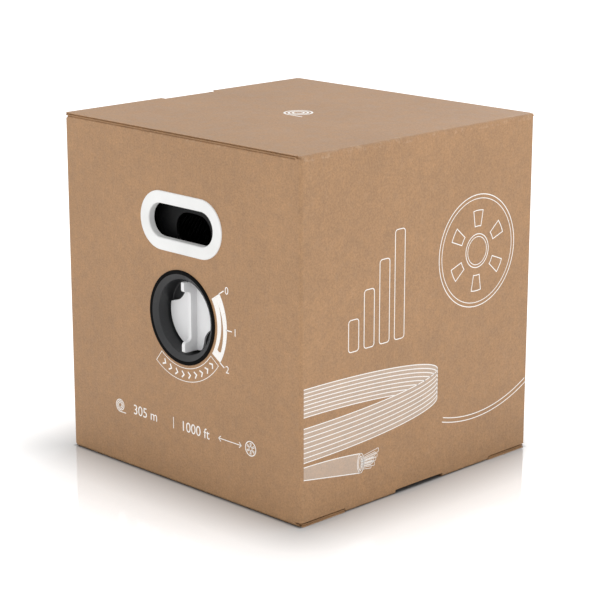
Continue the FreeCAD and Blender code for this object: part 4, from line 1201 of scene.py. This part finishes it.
BOLT_CIRCLE = 57 * MM
HEAD_RADIUS, HEAD_HEIGHT = 4.4 * MM, 2.1 * MM
bolt_spots = [polar(BOLT_CIRCLE, 29 + 60 * number) for number in range(6)]
bolt_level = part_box("reel_bolts")[0].y + HEAD_HEIGHT / 2 + CROWN_HEIGHT
nut_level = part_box("reel_nuts")[1].y - HEAD_HEIGHT / 2 - 0.3 * MM
for name, node, level, shank_radius, shank_length in (
    ("reel_bolt_set", "reel_bolts", bolt_level, 2.5 * MM, 320 * MM),
    ("reel_nut_set", "reel_nuts", nut_level, 2.4 * MM, 1.0 * MM),
):
    hardware = shape(name, [(u, level, v) for u, v in bolt_spots], [], zinc_steel)
    grow(hardware, fastener, {
        "Head Radius": HEAD_RADIUS, "Head Height": HEAD_HEIGHT, "Shank Radius": shank_radius,
        "Shank Length": shank_length, "Material": zinc_steel,
    })
    soften(hardware, sharp=28)
    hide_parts(node)
    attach(hardware, "reel")

# ---------------------------------------------------------------- wound cable
# Round data cable in a soft black jacket, wound turn beside turn; the outer layer is one long helix
# and the layer under it closes the gaps between its turns.

CABLE_RADIUS = 3.15 * MM
winding_low, winding_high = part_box("cable_winding")
winding_radius = (winding_high.x - winding_low.x) / 2
lay_length = winding_high.y - winding_low.y - 2 * CABLE_RADIUS
turns = int(lay_length / (2 * CABLE_RADIUS))
cable_jacket = moulded("cable_jacket", (0.030, 0.031, 0.033, 1), 0.42, 0.3, 0.05, grain=2600.0)

winder, asked, result = geometry_tree(
    "cable_turns", "Turns", "Winding Radius", "Lay Length", "Cable Radius"
)
helix = geometry_node(winder, "CurveSpiral", {
    "Resolution": 56, "Rotations": asked["Turns"], "Start Radius": asked["Winding Radius"],
    "End Radius": asked["Winding Radius"], "Height": asked["Lay Length"],
})[0]
jacket = geometry_node(winder, "CurvePrimitiveCircle", {"Resolution": 9, "Radius": asked["Cable Radius"]})[0]
tube = geometry_node(winder, "CurveToMesh", {"Curve": helix, "Profile Curve": jacket, "Fill Caps": True})[0]
laid = geometry_node(winder, "Transform", {"Geometry": tube, "Rotation": (math.radians(-90), 0, 0)})[0]
finish_tree(winder, laid, asked["Material"], result)
for name, inwards, lay_in, node in (
    ("cable_outer_layer", 1.0, 0.0, "cable_winding"),
    ("cable_under_layer", 2.75, 1.0, None),
):
    layer = shape(name, [(0, 0, 0)], [], cable_jacket)
    grow(layer, winder, {
        "Turns": turns - lay_in, "Winding Radius": winding_radius - inwards * CABLE_RADIUS,
        "Lay Length": lay_length - 2 * lay_in * CABLE_RADIUS, "Cable Radius": CABLE_RADIUS,
        "Material": cable_jacket,
    })
    for vertex in layer.data.vertices:
        vertex.co += Vector((DIAL_X, winding_low.y + (1 + lay_in) * CABLE_RADIUS, DIAL_Z))
    face_outwards(layer)
    soften(layer, sharp=60)
    if node:
        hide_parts(node)
    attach(layer, "reel")
